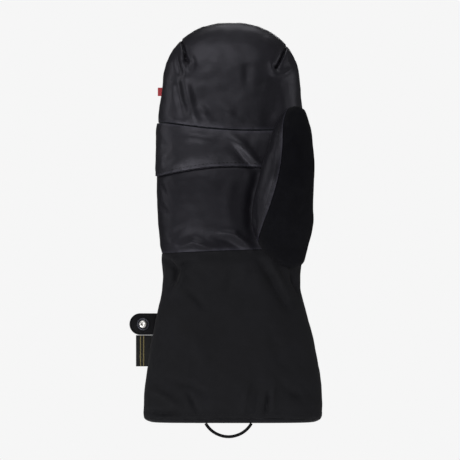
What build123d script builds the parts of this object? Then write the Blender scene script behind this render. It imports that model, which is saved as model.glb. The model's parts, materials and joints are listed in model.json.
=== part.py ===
"""Right-hand flip-top winter mitten with a flared gauntlet, in millimetres.

The palm faces -Y, the thumb is on +X and the fingertips point up +Z. The origin is the centre of the
gauntlet's mouth. The finger hood turns back over the knuckles about a corded seam on the back.
"""

import os
from collections import namedtuple

from build123d import *

# ---------------------------------------------------------------- driving sizes
# Heights above the mouth of the gauntlet
hem_height = 9.0          # top edge of the folded hem
hem_swell_height = 8.0    # where the hem is widest
flare_height = 44.0       # lower end of the straight flare
neck_height = 90.5        # upper end of the straight flare
wrist_low = 106.0         # the wrist is narrowest between these two
wrist_high = 124.0
palm_full_height = 190.0  # the palm reaches its full width here
knuckle_height = 246.0    # flip-top seam across the back of the hand
dome_height = 280.5       # the hood starts to round over
tip_height = 332.0        # fingertips

# Full widths (X) and depths (Y)
mouth_width, mouth_depth = 147.0, 50.0
hem_width = 149.2
flare_width, flare_depth = 142.0, 50.0
neck_width, neck_depth = 126.0, 48.0
wrist_width, wrist_depth = 115.0, 48.0
palm_width, palm_depth = 123.0, 55.0
dome_width, dome_depth = 115.0, 50.0

# Layers, from the outside in
shell = 1.4               # leather, suede and softshell
layer_gap = 0.2           # air between layers that lie on each other
membrane = 0.5            # waterproof insert
wadding_inset = 2.6       # outer face of the wadding
hand_wadding = 5.0
thumb_wadding = 2.6
fleece = 0.8              # lining
nylon = 1.0               # gauntlet shell
cuff_lining = 0.7

# Flip-top
hood_gap = 0.4            # between the hood's edge and the grip band
tuck_depth = 7.0          # the hood's collar goes this far inside the grip band
tuck_clearance = 1.8      # between that collar and the palm leather
collar_thickness = 2.6
welt_diameter = 2.4       # corded seam that the hood turns on
running_gap = 0.3
hood_wadding_depth = 5.0

# Seams that cross the mitten: front height at the little finger, middle and index side, and back height
Seam = namedtuple("Seam", "little middle index back")
hood_seam = Seam(249.0, 241.3, 243.0, knuckle_height)
band_seam = Seam(203.8, 212.7, 205.0, 204.0)
cuff_seam = Seam(140.0, 142.8, 145.0, 140.0)

# Grip band, an overlay on the palm that wraps round the little-finger edge
band_thickness = 1.2
band_wrap = 9.0           # how far it reaches past the side seam

# Thumb: height, centre, gap behind it to the palm, half sizes, and where the suede starts on its front
Ring = namedtuple("Ring", "height centre clear half_width half_depth suede")
thumb_rings = [
    Ring(127.0, 47.0, -25.0, 6.0, 7.5, 1.10),
    Ring(131.0, 47.5, -22.0, 11.5, 9.5, 1.10),
    Ring(137.0, 45.5, -21.0, 15.8, 12.2, 1.08),
    Ring(146.0, 42.8, -21.0, 20.7, 15.0, 1.00),
    Ring(163.0, 42.2, -18.5, 25.5, 19.3, 0.66),
    Ring(180.0, 42.8, -9.0, 25.5, 18.3, 0.44),
    Ring(197.0, 44.5, 1.5, 23.6, 16.0, 0.33),
    Ring(212.0, 46.6, 3.0, 22.0, 15.5, 0.31),
    Ring(227.0, 49.6, 3.5, 19.6, 14.5, 0.42),
    Ring(240.0, 51.1, 4.0, 16.5, 13.0, 0.57),
    Ring(250.0, 52.0, 5.0, 12.8, 10.5, 0.70),
    Ring(257.0, 51.8, 7.0, 8.5, 7.5, 0.74),
    Ring(260.5, 51.5, 10.0, 4.0, 3.5, 0.74),
]

# Wrist elastic
elastic_width, elastic_thickness = 12.0, 1.2

# Hem drawcord and its pull loop
cord_diameter = 2.5
tunnel_clearance = 0.25
hem_wall = 0.9
cord_height = 3.4         # centre of the cord above the mouth
exit_bend = 6.0           # radius where the cord turns down out of the hem
loop_route = [            # the loop's centre line, as X and Z; its bends are listed below
    (-21.2, 0.0),
    (-17.2, -6.9),
    (-2.4, -12.3),
    (12.4, -6.9),
    (16.4, 0.0),
]
loop_bends = [9.8, 19.4, 9.8]

# Snap tab and woven label on the little-finger side seam
tab_width, tab_length, tab_thickness = 18.0, 20.0, 1.8
tab_height = 80.9         # centre of the tab
tab_to_stud = 8.6         # from the seam to the stud's axis
label_width, label_length, label_thickness = 25.6, 10.6, 0.8
label_gap = 0.5
snap_flange_diameter, snap_flange_thickness = 10.4, 0.8
stud_diameter, stud_height, stud_round = 6.4, 2.6, 0.7
shank_diameter, shank_clearance = 3.0, 0.1
ribbon_width, ribbon_length, ribbon_thickness = 6.6, 2.4, 1.0
ribbon_height = 273.5     # centre of the red side ribbon
hinge_offset = 1.3        # from the gauntlet to the line that the tab swings on

# ---------------------------------------------------------------- worked out from them
hand_stations = [
    (0.0, mouth_width / 2, mouth_depth / 2),
    (hem_swell_height, hem_width / 2, mouth_depth / 2),
    (flare_height, flare_width / 2, flare_depth / 2),
    (neck_height, neck_width / 2, neck_depth / 2),
    (wrist_low, wrist_width / 2, wrist_depth / 2),
    (wrist_high, wrist_width / 2, wrist_depth / 2),
    (palm_full_height, palm_width / 2, palm_depth / 2),
    (dome_height - 20.0, palm_width / 2, palm_depth / 2),
]
membrane_inset = shell + layer_gap
membrane_inner = membrane_inset + membrane
hand_wadding_inner = wadding_inset + hand_wadding
hand_lining_inset = hand_wadding_inner + layer_gap
hand_lining_inner = hand_lining_inset + fleece
thumb_wadding_inner = wadding_inset + thumb_wadding
thumb_lining_inset = thumb_wadding_inner + layer_gap
thumb_lining_inner = thumb_lining_inset + fleece
cuff_lining_inset = nylon + layer_gap
cuff_lining_inner = cuff_lining_inset + cuff_lining
collar_inset = shell + tuck_clearance
collar_inner = collar_inset + collar_thickness
liner_top_drop = tuck_depth + 2.0   # the hand's soft layers stop this far under the hood seam
cuff_top = wrist_low - 2.0          # the gauntlet's lining ends and the hand's lining starts here
straight_top = knuckle_height + 8.0  # the hood keeps its full size up to here
hinge_y = palm_depth / 2
reach = palm_depth                  # cutters reach past the mitten in Y
span = hem_width                    # and in X
sky = tip_height + 20.0


def size_at(height):
    """Half width and half depth of the outside of the hand and gauntlet at a height."""
    for (low, w0, d0), (high, w1, d1) in zip(hand_stations, hand_stations[1:]):
        if height <= high:
            share = (height - low) / (high - low)
            return w0 + share * (w1 - w0), d0 + share * (d1 - d0)
    return hand_stations[-1][1:]


def slot_loft(stations):
    """Solid through flat sections with round ends, one for each height, half width and half depth."""
    with BuildPart() as made:
        for height, half_width, half_depth in stations:
            with BuildSketch(Plane.XY.offset(height)):
                SlotOverall(2 * half_width, 2 * half_depth)
        loft(ruled=True)
    return made.part


def hand_form(inset):
    """Filled shape of the gauntlet and hand, a wall's thickness inside the outer surface."""
    return slot_loft([(z, w - inset, d - inset) for z, w, d in hand_stations])


def hood_form(inset):
    """Filled shape of the finger hood, from below its seam to the fingertips."""
    start = min(hood_seam) - 2 * liner_top_drop
    stations = [
        (start, palm_width / 2 - inset, palm_depth / 2 - inset),
        (straight_top, palm_width / 2 - inset, palm_depth / 2 - inset),
    ]
    rise = tip_height - dome_height - inset
    for turn in (0, 15, 30, 43, 55, 66, 76, 84):
        lift, shrink = rise * sin_deg(turn), cos_deg(turn)
        stations.append((
            dome_height + lift,
            (dome_width / 2 - inset) * shrink,
            (dome_depth / 2 - inset) * shrink ** 0.8 * 0.98,
        ))
    return slot_loft(stations)


def sin_deg(angle):
    return Vector(1, 0, 0).rotate(Axis.Z, angle).Y


def cos_deg(angle):
    return Vector(1, 0, 0).rotate(Axis.Z, angle).X


def slimmed(size, inset):
    """A half size less a wall, which still tapers where the wall would use it all up."""
    return max(size - inset, size / 4 * (1 - inset / (2 * hand_lining_inner)))


def thumb_form(inset):
    """Filled shape of the thumb, whose foot lies inside the hand."""
    foot, top = thumb_rings[0].height, thumb_rings[-1].height
    squeeze = (top - foot - inset) / (top - foot)
    with BuildPart() as made:
        for ring in thumb_rings:
            middle_y = -(palm_depth / 2 + ring.clear + ring.half_depth)
            height = foot + (ring.height - foot) * squeeze
            with BuildSketch(Plane.XY.offset(height)):
                with Locations((ring.centre, middle_y)):
                    Ellipse(slimmed(ring.half_width, inset), slimmed(ring.half_depth, inset))
        loft(ruled=True)
    return made.part


def above(seam, lift=0.0):
    """Everything above a seam that is curved on the palm side and straight on the back."""
    edge_x = palm_width / 2
    profiles = [
        (-reach, seam.little, seam.middle, seam.index),
        (-palm_depth / 2, seam.little, seam.middle, seam.index),
        (palm_depth / 2, seam.back, seam.back, seam.back),
        (reach, seam.back, seam.back, seam.back),
    ]
    with BuildPart() as made:
        for y, little, middle, index in profiles:
            with BuildSketch(Plane.XZ.offset(-y)):
                with BuildLine():
                    edge = Spline((-edge_x, little + lift), (0, middle + lift), (edge_x, index + lift))
                    Polyline(
                        edge @ 1, (span, index + lift), (span, sky), (-span, sky), (-span, little + lift), edge @ 0
                    )
                make_face()
        loft(ruled=True)
    return made.part


def half(side):
    """Block that covers the palm side (-1) or the back (+1) of the whole mitten."""
    with BuildPart() as made:
        with Locations((0, side * reach / 2, 0)):
            Box(2 * span, reach, 4 * sky)
    return made.part


def slab(low, high):
    """Block that covers the whole mitten between two heights."""
    with BuildPart(Plane.XY.offset(low)) as made:
        Box(2 * span, 2 * reach, high - low, align=(Align.CENTER, Align.CENTER, Align.MIN))
    return made.part


def rod_along_x(radius, length):
    """Round bar on the hinge axis."""
    with BuildPart() as made:
        with BuildSketch(Plane.YZ.offset(-length / 2)):
            with Locations((hinge_y, knuckle_height)):
                Circle(radius)
        extrude(amount=length)
    return made.part


def suede_side():
    """Everything on the outer side of the seam between the thumb's suede and its gusset."""
    seam = [(ring.centre - ring.suede * ring.half_width, ring.height) for ring in thumb_rings]
    with BuildPart() as made:
        with BuildSketch(Plane.XZ.offset(-reach)):
            with BuildLine():
                edge = Spline(*seam)
                Polyline(
                    edge @ 1, (seam[-1][0], sky), (span, sky), (span, wrist_high), (seam[0][0], wrist_high), edge @ 0
                )
            make_face()
        extrude(amount=3 * reach)
    return made.part


# ---------------------------------------------------------------- forms shared by the pieces
front_half, back_half = half(-1), half(1)
over_hood_seam = above(hood_seam, hood_gap)
over_palm = above(hood_seam)
over_liner = above(hood_seam, -liner_top_drop)
over_collar = above(hood_seam, -tuck_depth)
over_band_seam = above(band_seam)
over_cuff_seam = above(cuff_seam)
hand_outer, hand_shell_inner = hand_form(0), hand_form(shell)
thumb_outer, thumb_shell_inner = thumb_form(0), thumb_form(shell)
hood_outer, hood_shell_inner = hood_form(0), hood_form(shell)
wadding_face = hand_form(wadding_inset)
lining_face = hand_form(hand_lining_inset)
lining_hollow = hand_form(hand_lining_inner)
thumb_wadding_face = thumb_form(wadding_inset)
thumb_lining_face = thumb_form(thumb_lining_inset)
thumb_lining_hollow = thumb_form(thumb_lining_inner)
welt_length = palm_width - palm_depth
welt_rod = rod_along_x(welt_diameter / 2, welt_length)
welt_clearance_rod = rod_along_x(welt_diameter / 2 + running_gap, welt_length + 2 * running_gap)

pieces = {}


def finish(name, made):
    """Label a finished piece and keep it for writing."""
    made.part.label = name
    pieces[name] = made.part


# ---------------------------------------------------------------- gauntlet
cuff_shell_inner = hand_form(nylon)
for name, side in (("gauntlet_front", front_half), ("gauntlet_back", back_half)):
    with BuildPart() as gauntlet_half:
        add(hand_outer)
        add(cuff_shell_inner, mode=Mode.SUBTRACT)
        add(slab(hem_height, sky), mode=Mode.INTERSECT)
        add(over_cuff_seam, mode=Mode.SUBTRACT)
        add(thumb_outer, mode=Mode.SUBTRACT)
        add(side, mode=Mode.INTERSECT)
    finish(name, gauntlet_half)

with BuildPart() as gauntlet_lining:
    add(hand_form(cuff_lining_inset))
    add(hand_form(cuff_lining_inner), mode=Mode.SUBTRACT)
    add(slab(hem_height, cuff_top), mode=Mode.INTERSECT)
finish("gauntlet_lining", gauntlet_lining)

# ---------------------------------------------------------------- hem and drawcord
tunnel_radius = cord_diameter / 2 + tunnel_clearance
hem_thickness = 2 * (tunnel_radius + hem_wall)
cord_turn = (mouth_depth - hem_thickness) / 2       # half depth of the cord's way round the hem
cord_flat = (mouth_width - mouth_depth) / 2         # half length of its straight runs
loop_points = [Vector(x, -cord_turn, z) for x, z in loop_route]


def cord_exit(end, following, extra):
    """Open end, start of the straight exit and start of the bend, where one end of the loop leaves the hem."""
    down = (following - end).normalized()
    outward = Vector(-1, 0, 0) if down.X > 0 else Vector(1, 0, 0)
    fall = exit_bend * (1 - abs(down.X))
    bend_end = end - down * ((cord_height - fall) / abs(down.Z))
    bend_start = bend_end + outward * (exit_bend * abs(down.Z)) + Vector(0, 0, fall)
    return end + down * extra, bend_end, bend_start


def cord_in_hem(radius, extra):
    """Round bar along the cord's way through the hem, from one exit round the back to the other."""
    left_end, left_bend, left_level = cord_exit(loop_points[0], loop_points[1], extra)
    right_end, right_bend, right_level = cord_exit(loop_points[-1], loop_points[-2], extra)
    left_front, left_back = (-cord_flat, -cord_turn, cord_height), (-cord_flat, cord_turn, cord_height)
    right_front, right_back = (cord_flat, -cord_turn, cord_height), (cord_flat, cord_turn, cord_height)
    with BuildPart() as made:
        with BuildLine() as way:
            Line(left_end, left_bend)
            TangentArc(left_level, left_bend, tangent=(1, 0, 0))
            Line(left_level, left_front)
            ThreePointArc(left_front, (-cord_flat - cord_turn, 0, cord_height), left_back)
            Line(left_back, right_back)
            ThreePointArc(right_back, (cord_flat + cord_turn, 0, cord_height), right_front)
            Line(right_front, right_level)
            TangentArc(right_level, right_bend, tangent=(-1, 0, 0))
            Line(right_bend, right_end)
        with BuildSketch(Plane(origin=left_end, z_dir=left_bend - left_end)):
            Circle(radius)
        sweep(path=way.wires()[0])
    return made.part


drawcord = cord_in_hem(cord_diameter / 2, 0)
tunnel = cord_in_hem(tunnel_radius, tunnel_radius)

with BuildPart() as hem_drawcord:
    add(drawcord)
finish("hem_drawcord", hem_drawcord)

with BuildPart() as hem_fold:
    add(hand_outer)
    add(hand_form(hem_thickness), mode=Mode.SUBTRACT)
    add(slab(0, hem_height), mode=Mode.INTERSECT)
    add(tunnel, mode=Mode.SUBTRACT)
finish("hem_fold", hem_fold)

with BuildPart() as pull_loop:
    with BuildLine() as loop_line:
        FilletPolyline(*loop_points, radius=loop_bends)
    with BuildSketch(Plane(origin=loop_line.line @ 0, z_dir=loop_line.line % 0)):
        Circle(cord_diameter / 2)
    sweep()
finish("pull_loop", pull_loop)
print("pull loop", round(loop_line.wires()[0].length, 1), "mm long, bends", loop_bends)


# ---------------------------------------------------------------- hand and thumb
def hand_layer(outside, inside, low, top):
    """One layer of the hand between two insets, from a height up to a seam, without the thumb's place."""
    with BuildPart() as made:
        add(hand_form(outside))
        add(hand_form(inside), mode=Mode.SUBTRACT)
        add(slab(low, sky), mode=Mode.INTERSECT)
        add(top, mode=Mode.SUBTRACT)
    return made.part


def thumb_layer(outside, inside, hand_inside):
    """One layer of the thumb between two insets, as far in as the inner face of the hand's layer."""
    with BuildPart() as made:
        add(thumb_form(outside))
        add(thumb_form(inside), mode=Mode.SUBTRACT)
        add(hand_form(hand_inside), mode=Mode.SUBTRACT)
    return made.part


hand_leather = hand_layer(0, shell, wrist_high, over_palm)
with BuildPart() as palm_leather:
    add(hand_leather)
    add(over_cuff_seam, mode=Mode.INTERSECT)
    add(thumb_outer, mode=Mode.SUBTRACT)
    add(front_half, mode=Mode.INTERSECT)
finish("palm_leather", palm_leather)

with BuildPart() as back_panel:
    add(hand_leather)
    add(over_cuff_seam, mode=Mode.INTERSECT)
    add(back_half, mode=Mode.INTERSECT)
    add(welt_rod, mode=Mode.SUBTRACT)
finish("back_panel", back_panel)

with BuildPart() as knuckle_welt:
    add(welt_rod)
finish("knuckle_welt", knuckle_welt)

with BuildPart() as band_place:
    add(front_half)
    with Locations((-span / 2, band_wrap / 2, 0)):
        Box(span, band_wrap, 4 * sky)

with BuildPart() as grip_band:
    add(hand_form(-band_thickness))
    add(hand_outer, mode=Mode.SUBTRACT)
    add(over_band_seam, mode=Mode.INTERSECT)
    add(over_palm, mode=Mode.SUBTRACT)
    add(band_place.part, mode=Mode.INTERSECT)
finish("grip_band", grip_band)

thumb_shell = thumb_layer(0, shell, shell)
outer_side = suede_side()
with BuildPart() as thumb_suede:
    add(thumb_shell)
    add(outer_side, mode=Mode.INTERSECT)
finish("thumb_suede", thumb_suede)

with BuildPart() as thumb_gusset:
    add(thumb_shell)
    add(outer_side, mode=Mode.SUBTRACT)
finish("thumb_gusset", thumb_gusset)

thumb_membrane = thumb_layer(membrane_inset, membrane_inner, membrane_inner)
hand_membrane = hand_layer(membrane_inset, membrane_inner, cuff_top, over_liner)
with BuildPart() as membrane_insert:
    add(hand_membrane)
    add(thumb_form(membrane_inset), mode=Mode.SUBTRACT)
    add(thumb_membrane)
finish("membrane", membrane_insert)

elastic_face = hand_layer(wadding_inset, wadding_inset + elastic_thickness, cuff_top, over_liner)
wrist_middle = (wrist_low + wrist_high) / 2
with BuildPart() as wrist_elastic:
    add(elastic_face)
    add(slab(wrist_middle - elastic_width / 2, wrist_middle + elastic_width / 2), mode=Mode.INTERSECT)
finish("wrist_elastic", wrist_elastic)

with BuildPart() as hand_wadding_piece:
    add(hand_layer(wadding_inset, hand_wadding_inner, cuff_top, over_liner))
    add(thumb_form(wadding_inset), mode=Mode.SUBTRACT)
    add(wrist_elastic.part, mode=Mode.SUBTRACT)
finish("wadding", hand_wadding_piece)

with BuildPart() as hand_lining_piece:
    add(hand_layer(hand_lining_inset, hand_lining_inner, cuff_top, over_liner))
    add(thumb_form(thumb_lining_inset), mode=Mode.SUBTRACT)
finish("lining", hand_lining_piece)

with BuildPart() as thumb_wadding_piece:
    add(thumb_layer(wadding_inset, thumb_wadding_inner, hand_wadding_inner))
finish("thumb_wadding", thumb_wadding_piece)

with BuildPart() as thumb_lining_piece:
    add(thumb_layer(thumb_lining_inset, thumb_lining_inner, hand_lining_inner))
finish("thumb_lining", thumb_lining_piece)

# ---------------------------------------------------------------- hood
hood_wadding_inner = membrane_inset + hood_wadding_depth
hood_lining_inset = hood_wadding_inner + layer_gap
hood_lining_inner = hood_lining_inset + fleece


def hood_layer(outside, inside, bottom):
    """One layer of the hood between two insets, above a seam."""
    with BuildPart() as made:
        add(hood_form(outside))
        add(hood_form(inside), mode=Mode.SUBTRACT)
        add(bottom, mode=Mode.INTERSECT)
    return made.part


hood_shell = hood_layer(0, shell, over_hood_seam)
with BuildPart() as hood_front:
    add(hood_shell)
    add(front_half, mode=Mode.INTERSECT)
finish("hood_front", hood_front)

with BuildPart() as hood_back:
    add(hood_shell)
    add(back_half, mode=Mode.INTERSECT)
    add(welt_clearance_rod, mode=Mode.SUBTRACT)
finish("hood_back", hood_back)

with BuildPart() as hood_wadding:
    add(hood_layer(membrane_inset, hood_wadding_inner, over_hood_seam))
finish("hood_wadding", hood_wadding)

with BuildPart() as hood_lining:
    add(hood_layer(hood_lining_inset, hood_lining_inner, over_hood_seam))
finish("hood_lining", hood_lining)

collar_back = palm_depth / 5
with BuildPart() as hood_collar:
    add(hood_layer(collar_inset, collar_inner, over_collar))
    add(over_hood_seam, mode=Mode.SUBTRACT)
    with Locations((0, collar_back - reach, 0)):
        Box(2 * span, 2 * reach, 4 * sky, mode=Mode.INTERSECT)
finish("hood_collar", hood_collar)

narrowing = (ribbon_height - straight_top) / (dome_height - straight_top)
hood_side = (palm_width + narrowing * (dome_width - palm_width)) / 2
with BuildPart() as side_ribbon:
    with Locations((-hood_side - ribbon_length, 0, ribbon_height)):
        Box(2 * ribbon_length, ribbon_thickness, ribbon_width, align=(Align.MIN, Align.CENTER, Align.CENTER))
    add(hood_outer, mode=Mode.SUBTRACT)
finish("side_ribbon", side_ribbon)

# ---------------------------------------------------------------- label and snap tab
label_top = tab_height - tab_width / 2 - label_gap
label_middle = label_top - label_width / 2
label_edge = -size_at(label_middle)[0] - label_length
with BuildPart() as woven_label:
    with Locations((label_edge, 0, label_middle)):
        Box(2 * label_length, label_thickness, label_width, align=(Align.MIN, Align.CENTER, Align.CENTER))
    add(hand_outer, mode=Mode.SUBTRACT)
finish("woven_label", woven_label)

side_x = -size_at(tab_height)[0]
side_slope = (flare_width - neck_width) / 2 / (neck_height - flare_height)
stud_x = side_x - tab_to_stud
tab_end = side_x - tab_length
round_x = tab_end + tab_width / 2
low_edge, high_edge = tab_height - tab_width / 2, tab_height + tab_width / 2
hinge_x = side_x - hinge_offset
rise = side_slope * tab_width / 2
shank_hole = shank_diameter / 2 + shank_clearance
front_face = tab_thickness / 2
stud_plane = Plane.XZ.offset(front_face)

with BuildPart() as tab_strap:
    with BuildSketch(Plane.XZ.offset(-front_face)):
        with BuildLine():
            Polyline((round_x, high_edge), (hinge_x + rise, high_edge), (hinge_x - rise, low_edge), (round_x, low_edge))
            ThreePointArc((round_x, low_edge), (tab_end, tab_height), (round_x, high_edge))
        make_face()
        with Locations((stud_x, tab_height)):
            Circle(shank_hole, mode=Mode.SUBTRACT)
    extrude(amount=tab_thickness)
finish("tab_strap", tab_strap)

with BuildPart() as snap_ring:
    with BuildSketch(stud_plane):
        with Locations((stud_x, tab_height)):
            Circle(snap_flange_diameter / 2)
            Circle(shank_hole, mode=Mode.SUBTRACT)
    extrude(amount=snap_flange_thickness)
finish("snap_ring", snap_ring)

with BuildPart() as snap_stud:
    with BuildSketch(stud_plane.offset(snap_flange_thickness)):
        with Locations((stud_x, tab_height)):
            Circle(stud_diameter / 2)
    extrude(amount=stud_height)
    fillet(snap_stud.edges().group_by(Axis.Y)[0], stud_round)
    with BuildSketch(stud_plane.offset(-tab_thickness)):
        with Locations((stud_x, tab_height)):
            Circle(shank_diameter / 2)
    extrude(amount=tab_thickness + snap_flange_thickness)
finish("snap_stud", snap_stud)

with BuildPart() as snap_cap:
    with BuildSketch(stud_plane.offset(-tab_thickness)):
        with Locations((stud_x, tab_height)):
            Circle(snap_flange_diameter / 2)
    extrude(amount=-snap_flange_thickness)
finish("snap_cap", snap_cap)

# ---------------------------------------------------------------- write the pieces
os.makedirs("parts", exist_ok=True)
for name, piece in pieces.items():
    export_step(piece, f"parts/{name}.step")
    print(name, len(piece.solids()), "solid", round(piece.volume), "mm3")
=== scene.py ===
# %% [markdown]
# # A flip-top winter mitten, dressed
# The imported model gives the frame: where every solid lies, which body it moves with and where the hinges are.
# This notebook gives each piece its look, one material or one piece at a time. It works in metres, palm
# towards -Y, thumb on +X and fingertips up.

# %% Load the frame
import json
import math
import random

import bmesh
import bpy
import numpy as np
from mathutils import Matrix, Vector, noise
from mathutils.bvhtree import BVHTree


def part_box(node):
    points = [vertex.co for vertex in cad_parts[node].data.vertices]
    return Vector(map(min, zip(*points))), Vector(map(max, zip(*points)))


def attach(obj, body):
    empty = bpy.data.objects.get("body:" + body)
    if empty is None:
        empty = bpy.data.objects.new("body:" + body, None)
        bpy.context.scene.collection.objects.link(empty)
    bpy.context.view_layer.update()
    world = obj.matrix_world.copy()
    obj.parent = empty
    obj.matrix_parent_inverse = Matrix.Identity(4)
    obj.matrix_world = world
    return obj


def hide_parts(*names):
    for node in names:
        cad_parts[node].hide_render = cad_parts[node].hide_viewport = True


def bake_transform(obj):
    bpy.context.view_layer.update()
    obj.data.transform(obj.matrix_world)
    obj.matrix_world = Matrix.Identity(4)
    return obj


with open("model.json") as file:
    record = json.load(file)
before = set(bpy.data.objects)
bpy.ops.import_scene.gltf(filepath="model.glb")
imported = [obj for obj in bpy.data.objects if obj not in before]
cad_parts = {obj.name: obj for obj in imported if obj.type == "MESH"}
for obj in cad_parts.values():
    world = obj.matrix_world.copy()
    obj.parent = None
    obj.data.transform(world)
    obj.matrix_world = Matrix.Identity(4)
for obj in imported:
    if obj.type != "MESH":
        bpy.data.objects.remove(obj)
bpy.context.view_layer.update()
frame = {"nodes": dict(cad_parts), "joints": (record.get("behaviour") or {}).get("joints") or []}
MM = 0.001

# %% [markdown]
# ## Camera
# A packshot of a mitten is taken square to the palm from far away, so a long lens keeps the thumb, which lies
# nearest, from looking too large. The lens follows from how much of the subject's plane the frame takes in.

# %% Camera
# width of the subject's plane in the picture, distance of the lens, and the point it is aimed at (m)
VIEW_WIDTH = 381.8 * MM
VIEW_DISTANCE = 2.4
AIM = Vector((-1.2 * MM, 0, 159.0 * MM))
camera_data = bpy.data.cameras.new("camera")
camera_data.sensor_width = 36.0
camera_data.lens = camera_data.sensor_width * VIEW_DISTANCE / VIEW_WIDTH
camera = bpy.data.objects.new("camera", camera_data)
camera.location = AIM + Vector((0, -VIEW_DISTANCE, 0))
camera.rotation_euler = (math.radians(90), 0, 0)
bpy.context.scene.collection.objects.link(camera)
bpy.context.scene.camera = camera
print("lens, mm:", round(camera_data.lens, 1))

# %% [markdown]
# ## Small helpers
# `new_object` turns a finished bmesh into an object at the origin, with its place in its mesh. `srgb` turns a
# hex colour into the linear values that shaders use. `node` adds one shader node with its settings and links, and
# `new_material` starts a finish: its shader's values and the coordinates that its patterns read.


# %% Helpers
def box_mm(name):
    """Both corners of the box of a CAD solid, in mm."""
    return [Vector(corner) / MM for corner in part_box(name)]


def joint(name):
    return next(j for j in frame["joints"] if j["name"] == name)


def new_object(name, bm):
    mesh = bpy.data.meshes.new(name)
    bm.to_mesh(mesh)
    bm.free()
    for polygon in mesh.polygons:
        polygon.use_smooth = True
    obj = bpy.data.objects.new(name, mesh)
    bpy.context.scene.collection.objects.link(obj)
    return obj


def applied(obj):
    """Bake an object's modifiers into its mesh."""
    shown = obj.evaluated_get(bpy.context.evaluated_depsgraph_get())
    mesh = bpy.data.meshes.new_from_object(shown)
    old = obj.data
    obj.modifiers.clear()
    obj.data = mesh
    bpy.data.meshes.remove(old)
    return obj


def thickened(obj, thickness, offset=0):
    """Give a sheet a thickness in mm, half to each side (0) or all of it inwards (-1)."""
    wall = obj.modifiers.new("thickness", "SOLIDIFY")
    wall.thickness = thickness * MM
    wall.offset = offset
    wall.use_even_offset = False
    return obj


def srgb(code):
    parts = [int(code[i:i + 2], 16) / 255 for i in (1, 3, 5)]
    return [c / 12.92 if c <= 0.04045 else ((c + 0.055) / 1.055) ** 2.4 for c in parts] + [1.0]


def node(tree, kind, settings=None, **links):
    """Add a node. A link's name is its socket's, or i and the socket's number; its value is an output or a constant."""
    made = tree.nodes.new(kind)
    for key, value in (settings or {}).items():
        setattr(made, key, value)
    for key, value in links.items():
        numbered = key[0] == "i" and key[1:].isdigit()
        socket = made.inputs[int(key[1:]) if numbered else key.replace("_", " ")]
        if isinstance(value, bpy.types.NodeSocket):
            tree.links.new(value, socket)
        else:
            socket.default_value = value
    return made


def new_material(name, base, roughness, **values):
    """Start a material. Gives it with its tree, its shader and its Object coordinates."""
    material = bpy.data.materials.new(name)
    material.use_nodes = True
    tree = material.node_tree
    shader = tree.nodes["Principled BSDF"]
    shader.inputs["Base Color"].default_value = srgb(base)
    shader.inputs["Roughness"].default_value = roughness
    for key, value in values.items():
        shader.inputs[key.replace("_", " ")].default_value = value
    return material, tree, shader, node(tree, "ShaderNodeTexCoord").outputs["Object"]


# %% [markdown]
# ## Light and floor
# Black leather shows its shape only by what it mirrors, so the softboxes matter more than the colour. One large
# box in front lights the palm, a low one catches the undersides of the swells, two tall ones draw the sides, one
# above rounds off the fingertips and one lights the back. The backdrop is the world itself, so that it stays plain
# from every side. The floor lies well below the sleeve, fades out towards its rim and is clear from underneath, so
# that one can look up into the gauntlet.


# %% Light and floor
def softbox(name, place, width, height, watts):
    data = bpy.data.lights.new(name, "AREA")
    data.shape = "RECTANGLE"
    data.size, data.size_y = width, height
    data.energy = watts
    lamp = bpy.data.objects.new(name, data)
    lamp.location = place
    lamp.rotation_euler = (AIM - Vector(place)).to_track_quat("-Z", "Y").to_euler()
    lamp.visible_camera = False
    bpy.context.scene.collection.objects.link(lamp)


# name, place, width and height (m), power (W)
softbox("box_front", (-0.5, -1.7, 1.3), 1.2, 0.9, 13.0)
softbox("box_left", (-1.5, -0.45, 0.45), 0.4, 1.3, 5)
softbox("box_right", (1.5, -0.45, 0.3), 0.4, 1.3, 5)
softbox("box_top", (0.1, 0.15, 1.7), 0.9, 0.7, 6)
softbox("box_low", (-0.45, -0.95, -0.25), 0.5, 0.25, 3.8)
softbox("box_behind", (0.2, 1.9, 1.0), 1.0, 1.0, 16)

world = bpy.data.worlds.new("studio")
bpy.context.scene.world = world
world.use_nodes = True
tree = world.node_tree
tree.nodes.clear()
PALE = "#f6f6f6"
WORLD_LIGHT = 0.12
seen = node(tree, "ShaderNodeBackground", Color=srgb(PALE), Strength=1.0)
lit = node(tree, "ShaderNodeBackground", Color=srgb(PALE), Strength=WORLD_LIGHT)
ray = node(tree, "ShaderNodeLightPath")
mixed = node(tree, "ShaderNodeMixShader", i0=ray.outputs["Is Camera Ray"], i1=lit.outputs[0], i2=seen.outputs[0])
node(tree, "ShaderNodeOutputWorld", Surface=mixed.outputs[0])
bpy.context.scene.view_settings.view_transform = "Standard"

FLOOR_DROP, FLOOR_RADIUS = 0.45, 1.8
FADE_FROM, FADE_TO = 0.3, FLOOR_RADIUS * 0.95
bm = bmesh.new()
bmesh.ops.create_circle(bm, cap_ends=True, segments=96, radius=FLOOR_RADIUS)
bmesh.ops.translate(bm, verts=bm.verts, vec=(0, 0, -FLOOR_DROP))
floor = new_object("floor", bm)
board, tree, shader, place = new_material(
    "painted board, matt white", PALE, 0.9, Emission_Color=srgb(PALE), Emission_Strength=0.3,
)
flat = node(tree, "ShaderNodeVectorMath", {"operation": "MULTIPLY"}, i0=place, i1=(1, 1, 0))
reach = node(tree, "ShaderNodeVectorMath", {"operation": "LENGTH"}, i0=flat.outputs[0])
fade = node(tree, "ShaderNodeMapRange", {"interpolation_type": "SMOOTHSTEP"}, Value=reach.outputs["Value"],
            i1=FADE_FROM, i2=FADE_TO)
below = node(tree, "ShaderNodeNewGeometry").outputs["Backfacing"]
open_share = node(tree, "ShaderNodeMath", {"operation": "MAXIMUM"}, i0=fade.outputs[0], i1=below)
clear = node(tree, "ShaderNodeBsdfTransparent")
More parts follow.
